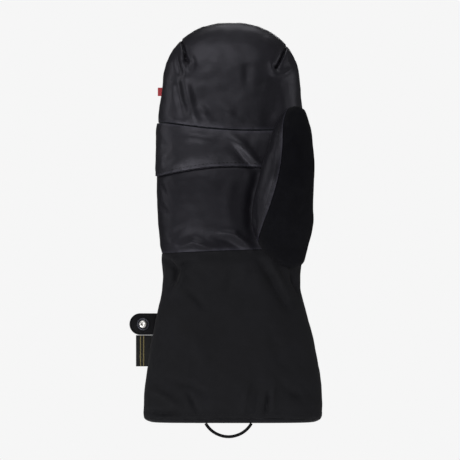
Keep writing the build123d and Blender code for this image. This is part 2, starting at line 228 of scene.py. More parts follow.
faded = node(tree, "ShaderNodeMixShader", i0=open_share.outputs[0], i1=shader.outputs[0], i2=clear.outputs[0])
tree.links.new(faded.outputs[0], tree.nodes["Material Output"].inputs["Surface"])
floor.data.materials.append(board)

# %% [markdown]
# ## The shape of the hand
# Every skin and lining of the mitten follows one form: rings from the mouth of the gauntlet to the
# fingertips, each a rounded section with its own width to the left and right and its own depth. The stations
# below are the places where the outline changes; a smooth curve runs between them.

# %% Form of the mitten
# height, width to the little-finger side, width to the thumb side, half depth (mm)
STATIONS = [
    (0.0, 71.5, 73.5, 22.5),
    (2.5, 73.0, 75.0, 24.2),
    (8.0, 73.6, 75.6, 25.0),
    (14.5, 73.0, 75.6, 24.8),
    (28.0, 72.4, 75.2, 24.6),
    (41.0, 70.6, 73.8, 24.6),
    (67.0, 66.6, 68.6, 24.5),
    (94.0, 61.3, 61.9, 24.2),
    (101.0, 59.2, 59.7, 24.0),
    (108.0, 57.7, 58.0, 23.8),
    (121.0, 57.0, 57.6, 24.0),
    (134.0, 58.2, 58.8, 24.6),
    (147.0, 59.6, 59.6, 25.4),
    (174.0, 61.8, 61.0, 27.0),
    (200.0, 62.4, 61.6, 27.5),
    (247.0, 61.8, 61.0, 27.4),
    (262.0, 60.3, 59.2, 26.6),
    (280.0, 57.4, 57.4, 25.2),
]
TIP = 331.6
# squareness of the section: the empty gauntlet lies flat up to one height, the padded hand is rounder from the other
FLAT_SECTION, ROUND_SECTION = 3.4, 2.6
FLAT_UP_TO, ROUND_FROM = 90.0, 170.0
# 2 makes the fingertips a plain half ellipse, more makes them fuller; below 1 their depth shrinks after their width
DOME_FULLNESS, DOME_DEPTH = 2.12, 0.85


def squareness(height):
    share = max(0.0, min(1.0, (height - FLAT_UP_TO) / (ROUND_FROM - FLAT_UP_TO)))
    return FLAT_SECTION + (ROUND_SECTION - FLAT_SECTION) * share


def between(rows, height):
    """Values of a table of rows at a height, on a smooth curve through the rows."""
    height = max(rows[0][0], min(rows[-1][0], height))
    low = max(i for i, row in enumerate(rows[:-1]) if height >= row[0])
    a, b = rows[low], rows[low + 1]
    before, after = rows[max(low - 1, 0)], rows[min(low + 2, len(rows) - 1)]
    t = (height - a[0]) / (b[0] - a[0])
    found = []
    for k in range(1, len(a)):
        slope_a = (b[k] - before[k]) / (b[0] - before[0]) * (b[0] - a[0])
        slope_b = (after[k] - a[k]) / (after[0] - a[0]) * (b[0] - a[0])
        found.append(
            a[k] * (2 * t ** 3 - 3 * t ** 2 + 1) + slope_a * (t ** 3 - 2 * t ** 2 + t)
            + b[k] * (3 * t ** 2 - 2 * t ** 3) + slope_b * (t ** 3 - t ** 2)
        )
    return found


def ring_at(height):
    """Width to each side and half depth of the form at a height, in mm."""
    last = STATIONS[-1]
    if height < last[0]:
        return between(STATIONS, height)
    share = min(1.0, (height - last[0]) / (TIP - last[0]))
    shrink = (1 - share ** DOME_FULLNESS) ** (1 / DOME_FULLNESS)
    return last[1] * shrink, last[2] * shrink, last[3] * shrink ** DOME_DEPTH


def rounded_square(angle, power):
    """Point of a ring of radius 1 that is squarer the higher its power is."""
    c, s = math.cos(angle), math.sin(angle)
    return math.copysign(abs(c) ** (2 / power), c), math.copysign(abs(s) ** (2 / power), s)


def on_ring(angle, height, inset=0.0):
    """Point of the form at an angle from the thumb side, in metres."""
    left, right, depth = (max(size - inset, 0.4) for size in ring_at(height))
    across, out = rounded_square(angle, squareness(height))
    return Vector((across * (right if across > 0 else left), out * depth, height)) * MM


def lofted(rings, around=96, close=True, ring_shaped=False):
    """Join rings into a tube. Each ring is a function that gives the point at an angle."""
    bm = bmesh.new()
    made = []
    for ring in rings:
        verts = bmesh.ops.create_circle(bm, segments=around, radius=MM)["verts"]
        for i, vert in enumerate(verts):
            vert.co = ring(2 * math.pi * i / around)
        made.append(verts)
    loops = [list({e for v in verts for e in v.link_edges}) for verts in made]
    for low in range(len(loops) if ring_shaped else len(loops) - 1):
        bmesh.ops.bridge_loops(bm, edges=loops[low] + loops[(low + 1) % len(loops)])
    if close and not ring_shaped:
        bmesh.ops.holes_fill(bm, edges=[e for e in bm.edges if e.is_boundary], sides=0)
    bmesh.ops.recalc_face_normals(bm, faces=bm.faces)
    return bm


def level_ring(height, inset=0.0):
    return lambda angle: on_ring(angle, height, inset)


# rings over the fingertips, and the angle of the last one: 90 degrees would be the tip itself
DOME_RINGS, DOME_LAST = 9, 84.0


def dome_heights(first, inset=0.0):
    """Heights from one level up to the dome, and over it by equal angles to just under its tip."""
    start, top = STATIONS[-1][0], TIP - inset
    straight = max(1, round((start - first) / 8))
    heights = [first + (start - first) * i / straight for i in range(straight)]
    turns = [math.radians(DOME_LAST * i / DOME_RINGS) for i in range(DOME_RINGS + 1)]
    return heights + [start + (top - start) * math.sin(turn) for turn in turns]


# %% [markdown]
# ## The seams
# Three seams cross the palm: the open edge of the finger hood, the lower edge of the grip band and the joint
# with the nylon gauntlet. Each is a shallow curve on the palm side and straight on the back, so its height is
# a parabola in front that fades to one value behind.

# %% Seams
PALM_HALF_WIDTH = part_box("palm_leather")[1][0] / MM
PALM_HALF_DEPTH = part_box("back_panel")[1][1] / MM
HINGE = Vector(joint("hood_hinge")["pos_m"])
# heights at the little-finger side, the middle, the thumb side and the back (mm)
HOOD_SEAM = (249.0, 241.3, 243.0, HINGE.z / MM)
BAND_SEAM = (203.8, 212.0, 205.0, 204.0)
CUFF_SEAM = (140.0, 142.8, 145.0, 140.0)


def seam_height(seam, co):
    """Height of a seam under or over a point, in mm."""
    little, middle, thumb, back = seam
    share = max(-1.05, min(1.05, co.x / MM / PALM_HALF_WIDTH))
    front = middle + (thumb - little) / 2 * share + ((thumb + little) / 2 - middle) * share ** 2
    behind = max(0.0, min(1.0, 0.5 + co.y / MM / PALM_HALF_DEPTH / 2))
    return front + (back - front) * behind


def smooth(low, high, value):
    """0 up to low, 1 from high, and a soft rise between them."""
    t = max(0.0, min(1.0, (value - low) / (high - low)))
    return t * t * (3 - 2 * t)


def at(value):
    """The same value at every point."""
    return lambda co: value


def at_seam(seam, lift=0.0):
    return lambda co: seam_height(seam, co) + lift


# %% [markdown]
# ## Puffing up padded leather
# Leather over wadding is held at its seams and swells between them. The form is remeshed to even squares, and
# Blender's cloth with air pressure and no gravity swells it, with the seams held. The cloth is cut a little
# larger than the form, so it also gathers into small folds. A cap keeps every point near its place.


# %% Cloth helpers
def remeshed(obj, size):
    even = obj.modifiers.new("even", "REMESH")
    even.mode = "VOXEL"
    even.voxel_size = size * MM
    return applied(obj)


def puffed(obj, held, cap, loose, spare, pressure=4.0, stiff=12.0, bend=0.6, frames=20):
    """Swell a closed skin by air pressure. held, cap (mm) and loose are functions of a point: how firmly it is
    kept, how far it may move, and its share of the spare cloth."""
    before = [v.co.copy() for v in obj.data.vertices]
    group = obj.vertex_groups.new(name="held")
    larger = obj.vertex_groups.new(name="loose")
    for i, co in enumerate(before):
        group.add([i], held(co), "REPLACE")
        larger.add([i], loose(co), "REPLACE")
    cloth = obj.modifiers.new("cloth", "CLOTH")
    values = cloth.settings
    values.quality = 6
    values.mass = 0.2
    values.tension_stiffness = values.compression_stiffness = stiff
    values.shear_stiffness = stiff / 2
    values.bending_stiffness = bend
    values.use_pressure = True
    values.uniform_pressure_force = pressure
    values.vertex_group_mass = "held"
    values.vertex_group_shrink = "loose"
    values.shrink_min, values.shrink_max = -0.003, -spare
    values.effector_weights.gravity = 0
    cloth.collision_settings.use_collision = False
    cloth.point_cache.frame_end = frames
    for step in range(1, frames + 1):
        bpy.context.scene.frame_set(step)
    applied(obj)
    bpy.context.scene.frame_set(1)
    moved = 0.0
    for old, vert in zip(before, obj.data.vertices):
        move = vert.co - old
        if move.length > cap(old) * MM:
            move = move.normalized() * cap(old) * MM
            vert.co = old + move
        moved = max(moved, move.length)
    print(obj.name, "moved up to", round(moved / MM, 1), "mm")
    return obj


def subdivided(obj):
    """Smooth a mesh and make it twice as fine."""
    finer = obj.modifiers.new("finer", "SUBSURF")
    finer.levels = finer.render_levels = 1
    return applied(obj)


# %% [markdown]
# ## Folds
# A crease or a ridge is a stroke: a path over the palm or the back, a width, and a height that is negative for
# a crease. It fades towards its ends, as a fold in leather does.


# %% Fold helper
def along_path(spots, path):
    """Distance of (x, height) spots to a path, and how far along it they lie, from 0 to 1."""
    points = [np.array(p, float) for p in path]
    lengths = [np.linalg.norm(b - a) for a, b in zip(points, points[1:])]
    best, where, gone = np.full(len(spots), 1e9), np.zeros(len(spots)), 0.0
    for a, b, length in zip(points, points[1:], lengths):
        t = np.clip((spots - a) @ (b - a) / length ** 2, 0, 1)
        gap = np.linalg.norm(spots - a - t[:, None] * (b - a), axis=1)
        where = np.where(gap < best, gone + t * length, where)
        best = np.minimum(gap, best)
        gone += length
    return best, where / gone


def folded(obj, strokes, side):
    """Raise or sink the skin along strokes on the palm side (-1) or the back (+1)."""
    mesh = obj.data
    spots = np.empty(3 * len(mesh.vertices))
    normals = np.empty_like(spots)
    mesh.vertices.foreach_get("co", spots)
    mesh.vertices.foreach_get("normal", normals)
    spots, normals = spots.reshape(-1, 3), normals.reshape(-1, 3)
    # folds fade out where the skin turns away to the side seams
    facing = np.clip(normals[:, 1] * side * 5 - 0.25, 0, 1)
    flat = spots[:, [0, 2]] / MM
    move = np.zeros(len(spots))
    for path, width, height in strokes:
        gap, where = along_path(flat, path)
        move += height * np.exp(-((gap / width) ** 2)) * np.sin(np.pi * (0.08 + 0.84 * where)) ** 0.7
    spots += normals * (move * facing * MM)[:, None]
    mesh.vertices.foreach_set("co", spots.ravel())
    mesh.update()


def raised(obj, height):
    """Move every point along its normal by height(co) in mm. The normals are read first, all at once."""
    normals = [vert.normal.copy() for vert in obj.data.vertices]
    for vert, normal in zip(obj.data.vertices, normals):
        vert.co += normal * height(vert.co) * MM
    obj.data.update()


def lumps(height, size):
    """Soft unevenness of a height, in lumps of about one size (mm)."""
    return lambda co: height * noise.noise(co / (size * MM))


# %% [markdown]
# ## Cutting the skin into its panels
# Leather panels are cut flat and sewn, so their edges are crisp. Here each panel is a copy of the swollen skin
# that is cut along its seams. A plane cuts straight, and a seam is curved, so the skin is sheared until the seam
# lies flat, cut, and sheared back. The panel then gets the leather's thickness and a rounded edge.


# %% Panel helpers
AXES = (Vector((1, 0, 0)), Vector((0, 1, 0)), Vector((0, 0, 1)))


def cut_along(bm, axis, level, keep):
    """Keep one side (+1 above, -1 below) of the surface where a coordinate equals level(co) in mm."""
    for vert in bm.verts:
        vert.co[axis] -= level(vert.co) * MM
    bmesh.ops.bisect_plane(
        bm, geom=bm.verts[:] + bm.edges[:] + bm.faces[:], plane_co=(0, 0, 0), plane_no=AXES[axis],
        clear_inner=keep > 0, clear_outer=keep < 0,
    )
    for vert in bm.verts:
        vert.co[axis] += level(vert.co) * MM


def weld_slivers(bm, size=0.45):
    """Merge points that lie very near a cut edge into the edge, so that no sliver is left."""
    on_edge = {v for v in bm.verts if v.is_boundary}
    merge, kept = {}, set()
    for edge in bm.edges:
        if edge.calc_length() > size * MM:
            continue
        a, b = edge.verts
        if a in on_edge and b in on_edge and not edge.is_boundary:
            continue
        inner, outer = (b, a) if a in on_edge else (a, b)
        if outer in on_edge and inner not in merge and outer not in merge and inner not in kept:
            merge[inner] = outer
            kept.add(outer)
    bmesh.ops.weld_verts(bm, targetmap=merge)


def grooved(bm, gap, width, depth):
    """Cut a narrow groove where gap(co) in mm is small, in a mesh made finer there first."""
    near = [e for e in bm.edges if gap(e.verts[0].co) < 3 * width + 1 and gap(e.verts[1].co) < 3 * width + 1]
    bmesh.ops.subdivide_edges(bm, edges=near, cuts=2, use_grid_fill=True)
    bm.normal_update()
    close = [(vert, gap(vert.co)) for vert in bm.verts]
    for vert, away in close:
        if away < 3 * width:
            vert.co -= vert.normal * depth * MM * math.exp(-((away / width) ** 2))


def panel(source, name, cuts, thickness=1.2, lift=None, rounded=0.38, grooves=()):
    """Cut a panel from a skin that is first lifted by lift(co), and give it its thickness and rounded edge, in mm."""
    bm = bmesh.new()
    bm.from_mesh(source.data)
    if lift:
        bm.normal_update()
        for vert in bm.verts:
            vert.co += vert.normal * lift(vert.co) * MM
    for axis, level, keep in cuts:
        cut_along(bm, axis, level, keep)
    weld_slivers(bm)
    for groove in grooves:
        grooved(bm, *groove)
    # the finish reads "rim" and paints the cut edge paler: partly scuffing, partly a painted highlight where the
    # rounded edge catches light
    rim = bm.verts.layers.float.new("rim")
    for vert in bm.verts:
        vert[rim] = 1.0 if vert.is_boundary else 0.0
    for vert in [v for v in bm.verts if not v.is_boundary and any(e.other_vert(v).is_boundary for e in v.link_edges)]:
        vert[rim] = 0.3
    made = thickened(new_object(name, bm), thickness, -1)
    edge = made.modifiers.new("rounded edge", "BEVEL")
    edge.width = rounded * MM
    edge.segments = 3
    edge.limit_method = "ANGLE"
    edge.angle_limit = math.radians(50)
    edge.profile = 0.5
    return applied(made)


# %% The whole skin of hand, hood and gauntlet
# how deep the skin is drawn in at a seam, and how far from it (mm)
SEAM_SINK, SEAM_WIDTH = 1.3, 3.2
# the hem's own seam holds less firmly than the others
HEM_SEAM, HEM_EASE = 9.0, 2.5


def from_seams(co):
    """Distance in mm to the nearest seam of the form."""
    z = co.z / MM
    gaps = [abs(z - seam_height(seam, co)) for seam in (HOOD_SEAM, CUFF_SEAM)]
    if co.y < 0:
        gaps.append(abs(z - seam_height(BAND_SEAM, co)))
    gaps.append(abs(z - HEM_SEAM) + HEM_EASE)
    if abs(co.x) / MM > 30 or z > 300:
        gaps.append(abs(co.y / MM) * 1.2)
    return min(gaps)


skin = new_object("skin", lofted([level_ring(h) for h in [i * 6.0 for i in range(46)] + dome_heights(276.0)[1:]]))
remeshed(skin, 3.0)
print("even skin:", len(skin.data.vertices), "vertices")
raised(skin, lambda co: -SEAM_SINK * math.exp(-(from_seams(co) / SEAM_WIDTH) ** 2))


def in_gauntlet(co):
    """1 in the nylon, 0 in the padded leather, which swells more and gathers less."""
    return 1 - smooth(132.0, 142.0, co.z / MM)


puffed(
    skin, held=lambda co: 0.97 * (1 - smooth(1.0, 9.0, from_seams(co))),
    cap=lambda co: 3.6 - 1.9 * in_gauntlet(co), loose=in_gauntlet, spare=0.022,
)
subdivided(skin)

# %% Folds of the worn leather and of the nylon
# path of (x, height), width, height of the stroke (mm)
FOLDS = [
    # darts at the fingertips, each with the leather bunched up beside it
    ([(-41.5, 316), (-39.0, 307), (-36.8, 299)], 1.1, -2.3),
    ([(-38.0, 299), (-36.0, 296)], 2.4, -1.6),
    ([(-34.5, 304), (-31.5, 297), (-33.0, 290)], 2.6, 1.7),
    ([(-41.5, 306), (-40.0, 295), (-36.5, 287)], 2.0, 1.7),
    ([(-47.0, 310), (-45.0, 298), (-42.0, 287)], 2.4, -1.6),
    ([(45.5, 311), (41.5, 301), (37.0, 293)], 1.1, -2.3),
    ([(38.5, 294.5), (35.5, 291.5)], 2.4, -1.6),
    ([(32.5, 295), (35.0, 287.5), (42.0, 286.5), (48.5, 291)], 2.3, 2.1),
    ([(48.5, 304), (51.0, 296)], 2.0, -1.0),
    # hood
    ([(38.0, 272), (33.0, 256), (30.0, 246)], 6.0, -1.2),
    ([(12.0, 296), (13.0, 280)], 3.6, -0.8),
    ([(-39.0, 284), (-35.0, 266), (-29.5, 249)], 4.2, 3.0),
    ([(-45.5, 284), (-43.0, 268), (-39.5, 254)], 3.2, -1.8),
    ([(-52.0, 250), (-40.0, 247.5)], 3.5, 1.2),
    ([(-27.0, 262), (-20.0, 252)], 3.0, 1.1),
    ([(-24.0, 272), (-20.0, 262), (-12.0, 250)], 4.0, -0.6),
    ([(-10.0, 262), (0.0, 254), (6.0, 247)], 3.0, 0.5),
    # grip band
    ([(-1.0, 235.5), (9.0, 228), (21.5, 213)], 3.4, 1.9),
    ([(2.0, 226), (13.0, 215), (21.0, 208)], 4.2, -1.1),
    ([(-40.0, 236), (-30.0, 236.5), (-17.0, 233)], 3.6, 0.9),
    ([(-58.0, 232), (-50.0, 224)], 4.0, -0.7),
    # palm
    ([(-40.0, 146), (-31.0, 149.5), (-22.0, 146), (-12.0, 143.5)], 2.8, 2.3),
    ([(-7.0, 157), (3.0, 155.5), (11.0, 149), (16.0, 143.5)], 2.5, 2.4),
    ([(-14.0, 153), (-1.0, 149), (7.0, 143.5)], 2.8, -1.4),
    ([(-52.0, 151), (-44.0, 145)], 3.0, 1.0),
    ([(22.0, 205), (18.0, 190), (15.5, 175), (16.5, 160), (21.0, 148)], 4.2, -2.8),
    ([(0.0, 198), (-3.0, 178), (1.0, 163)], 5.0, 0.7),
    ([(-59.0, 197), (-53.5, 187)], 2.4, -0.8),
    ([(-59.0, 181), (-53.0, 172)], 2.4, -0.7),
    # wrist: the elastic gathers the nylon
    ([(-56.0, 135), (-49.0, 131), (-45.5, 125), (-47.0, 117), (-51.5, 111)], 2.3, -3.8),
    ([(-31.0, 135), (-38.0, 131), (-45.0, 125)], 2.2, -2.8),
    ([(-49.0, 136), (-43.5, 132)], 2.6, 1.9),
    ([(-38.5, 125), (-41.5, 117), (-46.5, 108)], 2.6, 2.4),
    ([(-35.0, 109), (-28.0, 102), (-22.0, 95)], 3.2, -2.3),
    ([(23.0, 134), (31.0, 121), (38.0, 108), (46.0, 95)], 3.5, -3.8),
    ([(33.0, 132), (41.0, 117), (48.0, 103)], 2.8, 2.4),
    ([(49.5, 129), (51.5, 117), (56.0, 107)], 2.2, -3.4),
    ([(1.0, 128), (-3.0, 108)], 3.5, -0.8),
    ([(12.0, 130), (10.0, 112)], 3.5, 0.8),
    # gauntlet, near the hem
    ([(-70.0, 9.5), (-56.0, 8.0), (-42.0, 9.0)], 2.2, -2.8),
    ([(-65.0, 27), (-53.0, 21), (-44.0, 14)], 3.0, 2.6),
    ([(-35.5, 25), (-28.0, 10)], 2.2, -2.2),
    ([(-52.0, 36), (-34.0, 32), (-20.0, 24)], 3.6, -1.7),
    ([(14.5, 31), (9.0, 9)], 2.4, 2.3),
    ([(22.0, 28), (19.5, 12)], 2.6, -1.8),
    ([(31.0, 25), (28.5, 9)], 2.0, -2.8),
    ([(35.0, 28), (33.5, 12)], 2.2, 2.0),
    ([(47.0, 26), (60.0, 23)], 3.0, -1.8),
    ([(-30.0, 70), (-22.0, 48)], 5.0, 1.0),
    ([(35.0, 72), (44.0, 45)], 5.0, -1.0),
]
BACK_FOLDS = [
    ([(-38.0, 312), (-33.0, 298)], 1.6, -2.0),
    ([(38.0, 312), (34.0, 298)], 1.6, -2.0),
    ([(-20.0, 238), (-8.0, 226), (-4.0, 210)], 3.4, -0.9),
    ([(30.0, 236), (22.0, 222)], 3.0, -0.9),
    ([(-40.0, 165), (-22.0, 156), (-4.0, 158)], 3.6, 1.8),
    ([(10.0, 152), (28.0, 158), (42.0, 150)], 3.0, 1.6),
    ([(-44.0, 134), (-40.0, 122), (-46.0, 108)], 2.4, -2.3),
    ([(-24.0, 132), (-20.0, 110)], 2.6, -2.0),
    ([(-6.0, 131), (-8.0, 112)], 2.4, -1.6),
    ([(14.0, 132), (17.0, 109)], 2.6, -2.1),
    ([(36.0, 133), (41.0, 110)], 2.4, -2.3),
    ([(-50.0, 30), (-34.0, 18)], 3.2, 1.6),
    ([(20.0, 34), (30.0, 12)], 2.8, -1.6),
    ([(-10.0, 90), (4.0, 60)], 5.0, 1.2),
    ([(46.0, 78), (34.0, 52)], 5.0, -1.0),
]
folded(skin, FOLDS, -1)
folded(skin, BACK_FOLDS, 1)
raised(skin, lumps(0.5, 26.0))
raised(skin, lumps(0.26, 8.0))
print("skin:", len(skin.data.vertices), "vertices,", len(FOLDS) + len(BACK_FOLDS), "folds")

# %% Panels of hood, palm, back and gauntlet
# the line sewn down in the middle of each dart, and the groove that the thread pulls along it (mm)
DARTS = (
    [(-41.8, 317), (-39.2, 307), (-36.6, 298)],
    [(46.0, 312), (41.5, 301), (36.8, 292.5)],
)
DART_WIDTH, DART_DEPTH = 0.5, 1.7
BAND_GROOVE_DROP = 0.7
FAR = 1e3


def from_path(path):
    """Distance in mm to a path over the palm. The back of the hand is far from it."""
    points = [Vector(p) for p in path]

    def gap(co):
        if co.y > 0:
            return FAR
        spot = Vector((co.x / MM, co.z / MM))
        return min((spot - a.lerp(b, max(0.0, min(1.0, (spot - a).dot(b - a) / (b - a).length_squared)))).length
                   for a, b in zip(points, points[1:]))
    return gap


def in_band_seam(co):
    """Distance in mm to the palm's groove along the lower edge of the grip band."""
    return abs(co.z / MM - seam_height(BAND_SEAM, co) + BAND_GROOVE_DROP) if co.y < 0 else FAR


def over(seam, lift=0.0):
    """The cut that keeps what is higher than a seam, from lift mm above it."""
    return 2, at_seam(seam, lift), 1


def under(seam, lift):
    """The cut that keeps what is lower than a seam, up to lift mm above it."""
    return 2, at_seam(seam, lift), -1


# A cut is an axis (1 is depth, 2 is height), a level along it and the side that is kept. Panels stop short of the
# side seam, allowances reach to both sides of it, and the band goes round the little-finger edge onto the back (mm).
SIDE_GAP, ALLOWANCE_HALF, BAND_WRAP, BAND_STOP = 0.25, 3.0, 8.5, 0.5
FRONT, BACK = (1, at(-SIDE_GAP), -1), (1, at(SIDE_GAP), 1)
ALLOWANCE = [(1, at(-ALLOWANCE_HALF), 1), (1, at(ALLOWANCE_HALF), -1)]
BAND_SIDES = (1, lambda co: BAND_WRAP if co.x < 0 else BAND_STOP, -1)
# the nylon runs down over the rolled hem
HEM_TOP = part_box("hem_fold")[1][2] / MM
CUFF = [under(CUFF_SEAM, -0.6), (2, at(HEM_TOP - 6.0), 1)]
NYLON_SHEET = {"thickness": 0.9, "rounded": 0.3}
SEWN_UNDER = {"lift": at(-0.55), "thickness": 0.5, "rounded": 0.1}
hood_front = panel(skin, "hood_front_skin", [over(HOOD_SEAM, 0.8), FRONT],
                   grooves=[(from_path(dart), DART_WIDTH, DART_DEPTH) for dart in DARTS])
hood_back = panel(skin, "hood_back_skin", [over(HOOD_SEAM, 0.8), BACK])
palm = panel(skin, "palm_skin", [under(HOOD_SEAM, -1.4), over(CUFF_SEAM, -0.1), FRONT],
             grooves=[(in_band_seam, 0.8, 0.9)])
back = panel(skin, "back_skin", [under(HOOD_SEAM, -0.2), over(CUFF_SEAM, -0.1), BACK])
band = panel(skin, "grip_band_skin", [under(HOOD_SEAM, -0.6), over(BAND_SEAM), BAND_SIDES], lift=at(1.2), rounded=0.45)
cuff_front = panel(skin, "gauntlet_front_skin", CUFF + [FRONT], **NYLON_SHEET)
cuff_back = panel(skin, "gauntlet_back_skin", CUFF + [BACK], **NYLON_SHEET)
tape = panel(skin, "seam_tape", [under(CUFF_SEAM, 3.5), over(CUFF_SEAM, -3.5)],
             lift=at(-0.5), thickness=0.5, rounded=0.1)
# seam allowances close the side seams from inside
hood_allowance = panel(skin, "hood_side_seam", [over(HOOD_SEAM, 1.6)] + ALLOWANCE, **SEWN_UNDER)
hand_allowance = panel(skin, "hand_side_seam", [under(HOOD_SEAM, -2.2), over(CUFF_SEAM, 0.6)] + ALLOWANCE, **SEWN_UNDER)
cuff_allowance = panel(skin, "gauntlet_side_seam", [under(CUFF_SEAM, -1.2), (2, at(HEM_TOP - 5.0), 1)] + ALLOWANCE,
                       lift=at(-0.45), thickness=0.4, rounded=0.1)
for obj, body, *nodes in (
    (hood_allowance, "hood"), (hand_allowance, "hand"), (cuff_allowance, "hand"),
    (hood_front, "hood", "hood_front"), (hood_back, "hood", "hood_back"), (palm, "hand", "palm_leather"),
    (back, "hand", "back_panel"), (band, "hand", "grip_band"), (cuff_front, "hand", "gauntlet_front"),
    (cuff_back, "hand", "gauntlet_back"), (tape, "hand", "membrane"),
):
    if nodes:
        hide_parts(*nodes)
    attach(obj, body)
    print(obj.name, len(obj.data.polygons), "faces")
bpy.data.objects.remove(skin)

# %% [markdown]
# ## The thumb
# The thumb stands off the palm on the gauntlet side. Its outer side is suede and its inner side a leather gusset,
# joined by one seam that runs up the thumb. It is made as the hand is: rings, an even mesh, air, and then a cut
# along the seam. Its foot lies inside the palm.

# %% Form of the thumb
# height, middle, gap to the palm, half width, half depth, seam (shares of the half width left of the middle)
THUMB = [
    (127.0, 47.0, -25.0, 6.0, 7.5, 1.10),
    (131.0, 47.5, -22.0, 11.5, 9.5, 1.10),
    (137.0, 45.5, -21.0, 15.8, 12.2, 1.08),
    (146.0, 42.8, -21.0, 20.7, 15.0, 1.00),
    (163.0, 41.9, -18.5, 25.3, 19.3, 0.65),
    (180.0, 42.2, -9.0, 24.8, 18.3, 0.43),
    (197.0, 44.0, 1.5, 22.9, 16.0, 0.32),
    (212.0, 46.3, 3.0, 21.7, 15.5, 0.30),
    (227.0, 48.4, 3.5, 18.6, 14.5, 0.38),
    (240.0, 49.9, 4.0, 15.7, 13.0, 0.52),
    (250.0, 51.0, 5.0, 11.8, 10.5, 0.68),
    (257.0, 51.8, 7.0, 8.5, 7.5, 0.74),
    (260.5, 51.5, 10.0, 4.0, 3.5, 0.74),
]
THUMB_SECTION = 2.15
# how deep the skin is drawn in at the thumb's seam, and how far from it (mm)
THUMB_SINK, THUMB_SINK_WIDTH = 0.9, 2.6
THUMB_RINGS = [127, 128.5, 131, 134, 137, 141, 146] + [152 + 6 * i for i in range(16)]
THUMB_RINGS += [247, 251, 254.5, 257.5, 259.6, 260.5]


def on_thumb(angle, height):
    middle, gap, half_width, half_depth, _ = between(THUMB, height)
    across, out = rounded_square(angle, THUMB_SECTION)
    y = -(PALM_HALF_DEPTH + gap + half_depth) + out * half_depth
    return Vector((middle + across * half_width, y, height)) * MM


def thumb_seam(co):
    """Where the seam of suede and gusset runs at a height, in mm across."""
    middle, _, half_width, _, share = between(THUMB, co.z / MM)
    return middle - share * half_width


# %% Suede and gusset of the thumb
thumb = new_object("thumb", lofted([(lambda angle, h=h: on_thumb(angle, h)) for h in THUMB_RINGS], around=48))
remeshed(thumb, 2.4)
raised(thumb, lambda co: -THUMB_SINK * math.exp(-((co.x / MM - thumb_seam(co)) / THUMB_SINK_WIDTH) ** 2))
puffed(
    thumb, held=lambda co: 0.95 * (1 - smooth(1.0, 6.0, abs(co.x / MM - thumb_seam(co)))),
    cap=at(2.0), loose=lambda co: 0.4, spare=0.01,
)
subdivided(thumb)
raised(thumb, lumps(0.7, 24.0))
raised(thumb, lumps(0.22, 8.0))
folded(thumb, [
    ([(21.5, 161), (21.5, 148)], 2.0, 0.9), ([(15.5, 181), (15.2, 171), (18.0, 160)], 1.8, 1.1),
    ([(19.0, 184), (18.6, 170), (20.5, 160)], 1.6, -0.9), ([(60.0, 214), (52.0, 206), (50.0, 196)], 3.0, -0.9),
    ([(62.0, 178), (54.0, 170)], 3.0, -0.8), ([(40.0, 176), (46.0, 164), (56.0, 158)], 4.0, 0.6),
], -1)
suede = panel(thumb, "thumb_suede_skin", [(0, lambda co: thumb_seam(co) + 0.2, 1)], thickness=1.2)
gusset = panel(thumb, "thumb_gusset_skin", [(0, lambda co: thumb_seam(co) - 0.2, -1)], thickness=1.2)
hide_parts("thumb_suede", "thumb_wadding", "thumb_lining")
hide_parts("thumb_gusset")
for obj in (suede, gusset):
    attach(obj, "hand")
    print(obj.name, len(obj.data.polygons), "faces")
bpy.data.objects.remove(thumb)

# %% [markdown]
# ## Linings
# A lining is a sleeve that follows the form further in. From below one looks up the nylon gauntlet into the
# fleece of the hand, and with the hood thrown back one looks down into it from above. Each lining is a stack of
# rings that turns outward at its ends, as a sewn edge does.


# %% Linings of gauntlet and hand
def seam_ring(seam, lift, inset):
    """Ring that runs a little over or under a seam, further in than the form."""
    def point(angle):
        height = seam_height(seam, on_ring(angle, sum(seam) / 4, inset)) + (lift(angle) if callable(lift) else lift)
        return on_ring(angle, height, inset)
    return point


def mixed_ring(low, high, share):
    return lambda angle: low(angle).lerp(high(angle), share)


def lining(name, bm, body, *nodes):
    """Make a lining from a loft: a thin knit, smoothed, that stands in for its solids."""
    made = thickened(new_object(name, bm), 0.5)
    subdivided(applied(made))
    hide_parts(*nodes)
    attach(made, body)
    print(name, len(made.data.polygons), "faces")
    return made


# height, and how far in from the form (mm); the wrist's elastic draws the tricot in
TRICOT_RINGS = (
    (4.0, 4.3), (8.0, 4.5), (14.0, 4.4), (20.0, 4.0), (30.0, 3.0), (40.0, 2.4), (60.0, 2.2), (80.0, 3.0),
    (95.0, 4.8), (104.0, 5.6), (110.0, 6.2), (115.0, 6.9), (118.0, 7.4),
)
bm = lofted([level_ring(*row) for row in TRICOT_RINGS], close=False)
gauntlet_lining = lining("gauntlet_lining_skin", bm, "hand", "gauntlet_lining", "wrist_elastic")

# height over the hood's seam, and how far in (mm): the fleece turns outward to the edge of the palm
FLEECE_EDGE = (
    (-10.6, 8.1), (-9.3, 7.5), (-8.8, 6.4), (-8.7, 4.4), (-8.6, 2.9), (-7.8, 2.0), (-6.0, 1.7), (-3.0, 1.6),
    (-1.2, 1.5),
)
low_ring, high_ring = level_ring(150.0, 8.2), seam_ring(HOOD_SEAM, -13.0, 8.2)
rings = [level_ring(116.0, 8.6), level_ring(122.0, 8.2), level_ring(135.0, 8.2)]
rings += [mixed_ring(low_ring, high_ring, i / 9) for i in range(10)]
rings += [seam_ring(HOOD_SEAM, *row) for row in FLEECE_EDGE]
hand_lining = lining("hand_lining_skin", lofted(rings, close=False), "hand", "lining", "wadding")

# %% [markdown]
# ## Lining and collar of the hood
# The hood's lining ends in a soft collar that tucks into the hand and keeps the wind out. The collar is only on
# the palm side; towards the hinge it fades out, so that nothing is in the way when the hood is thrown back.


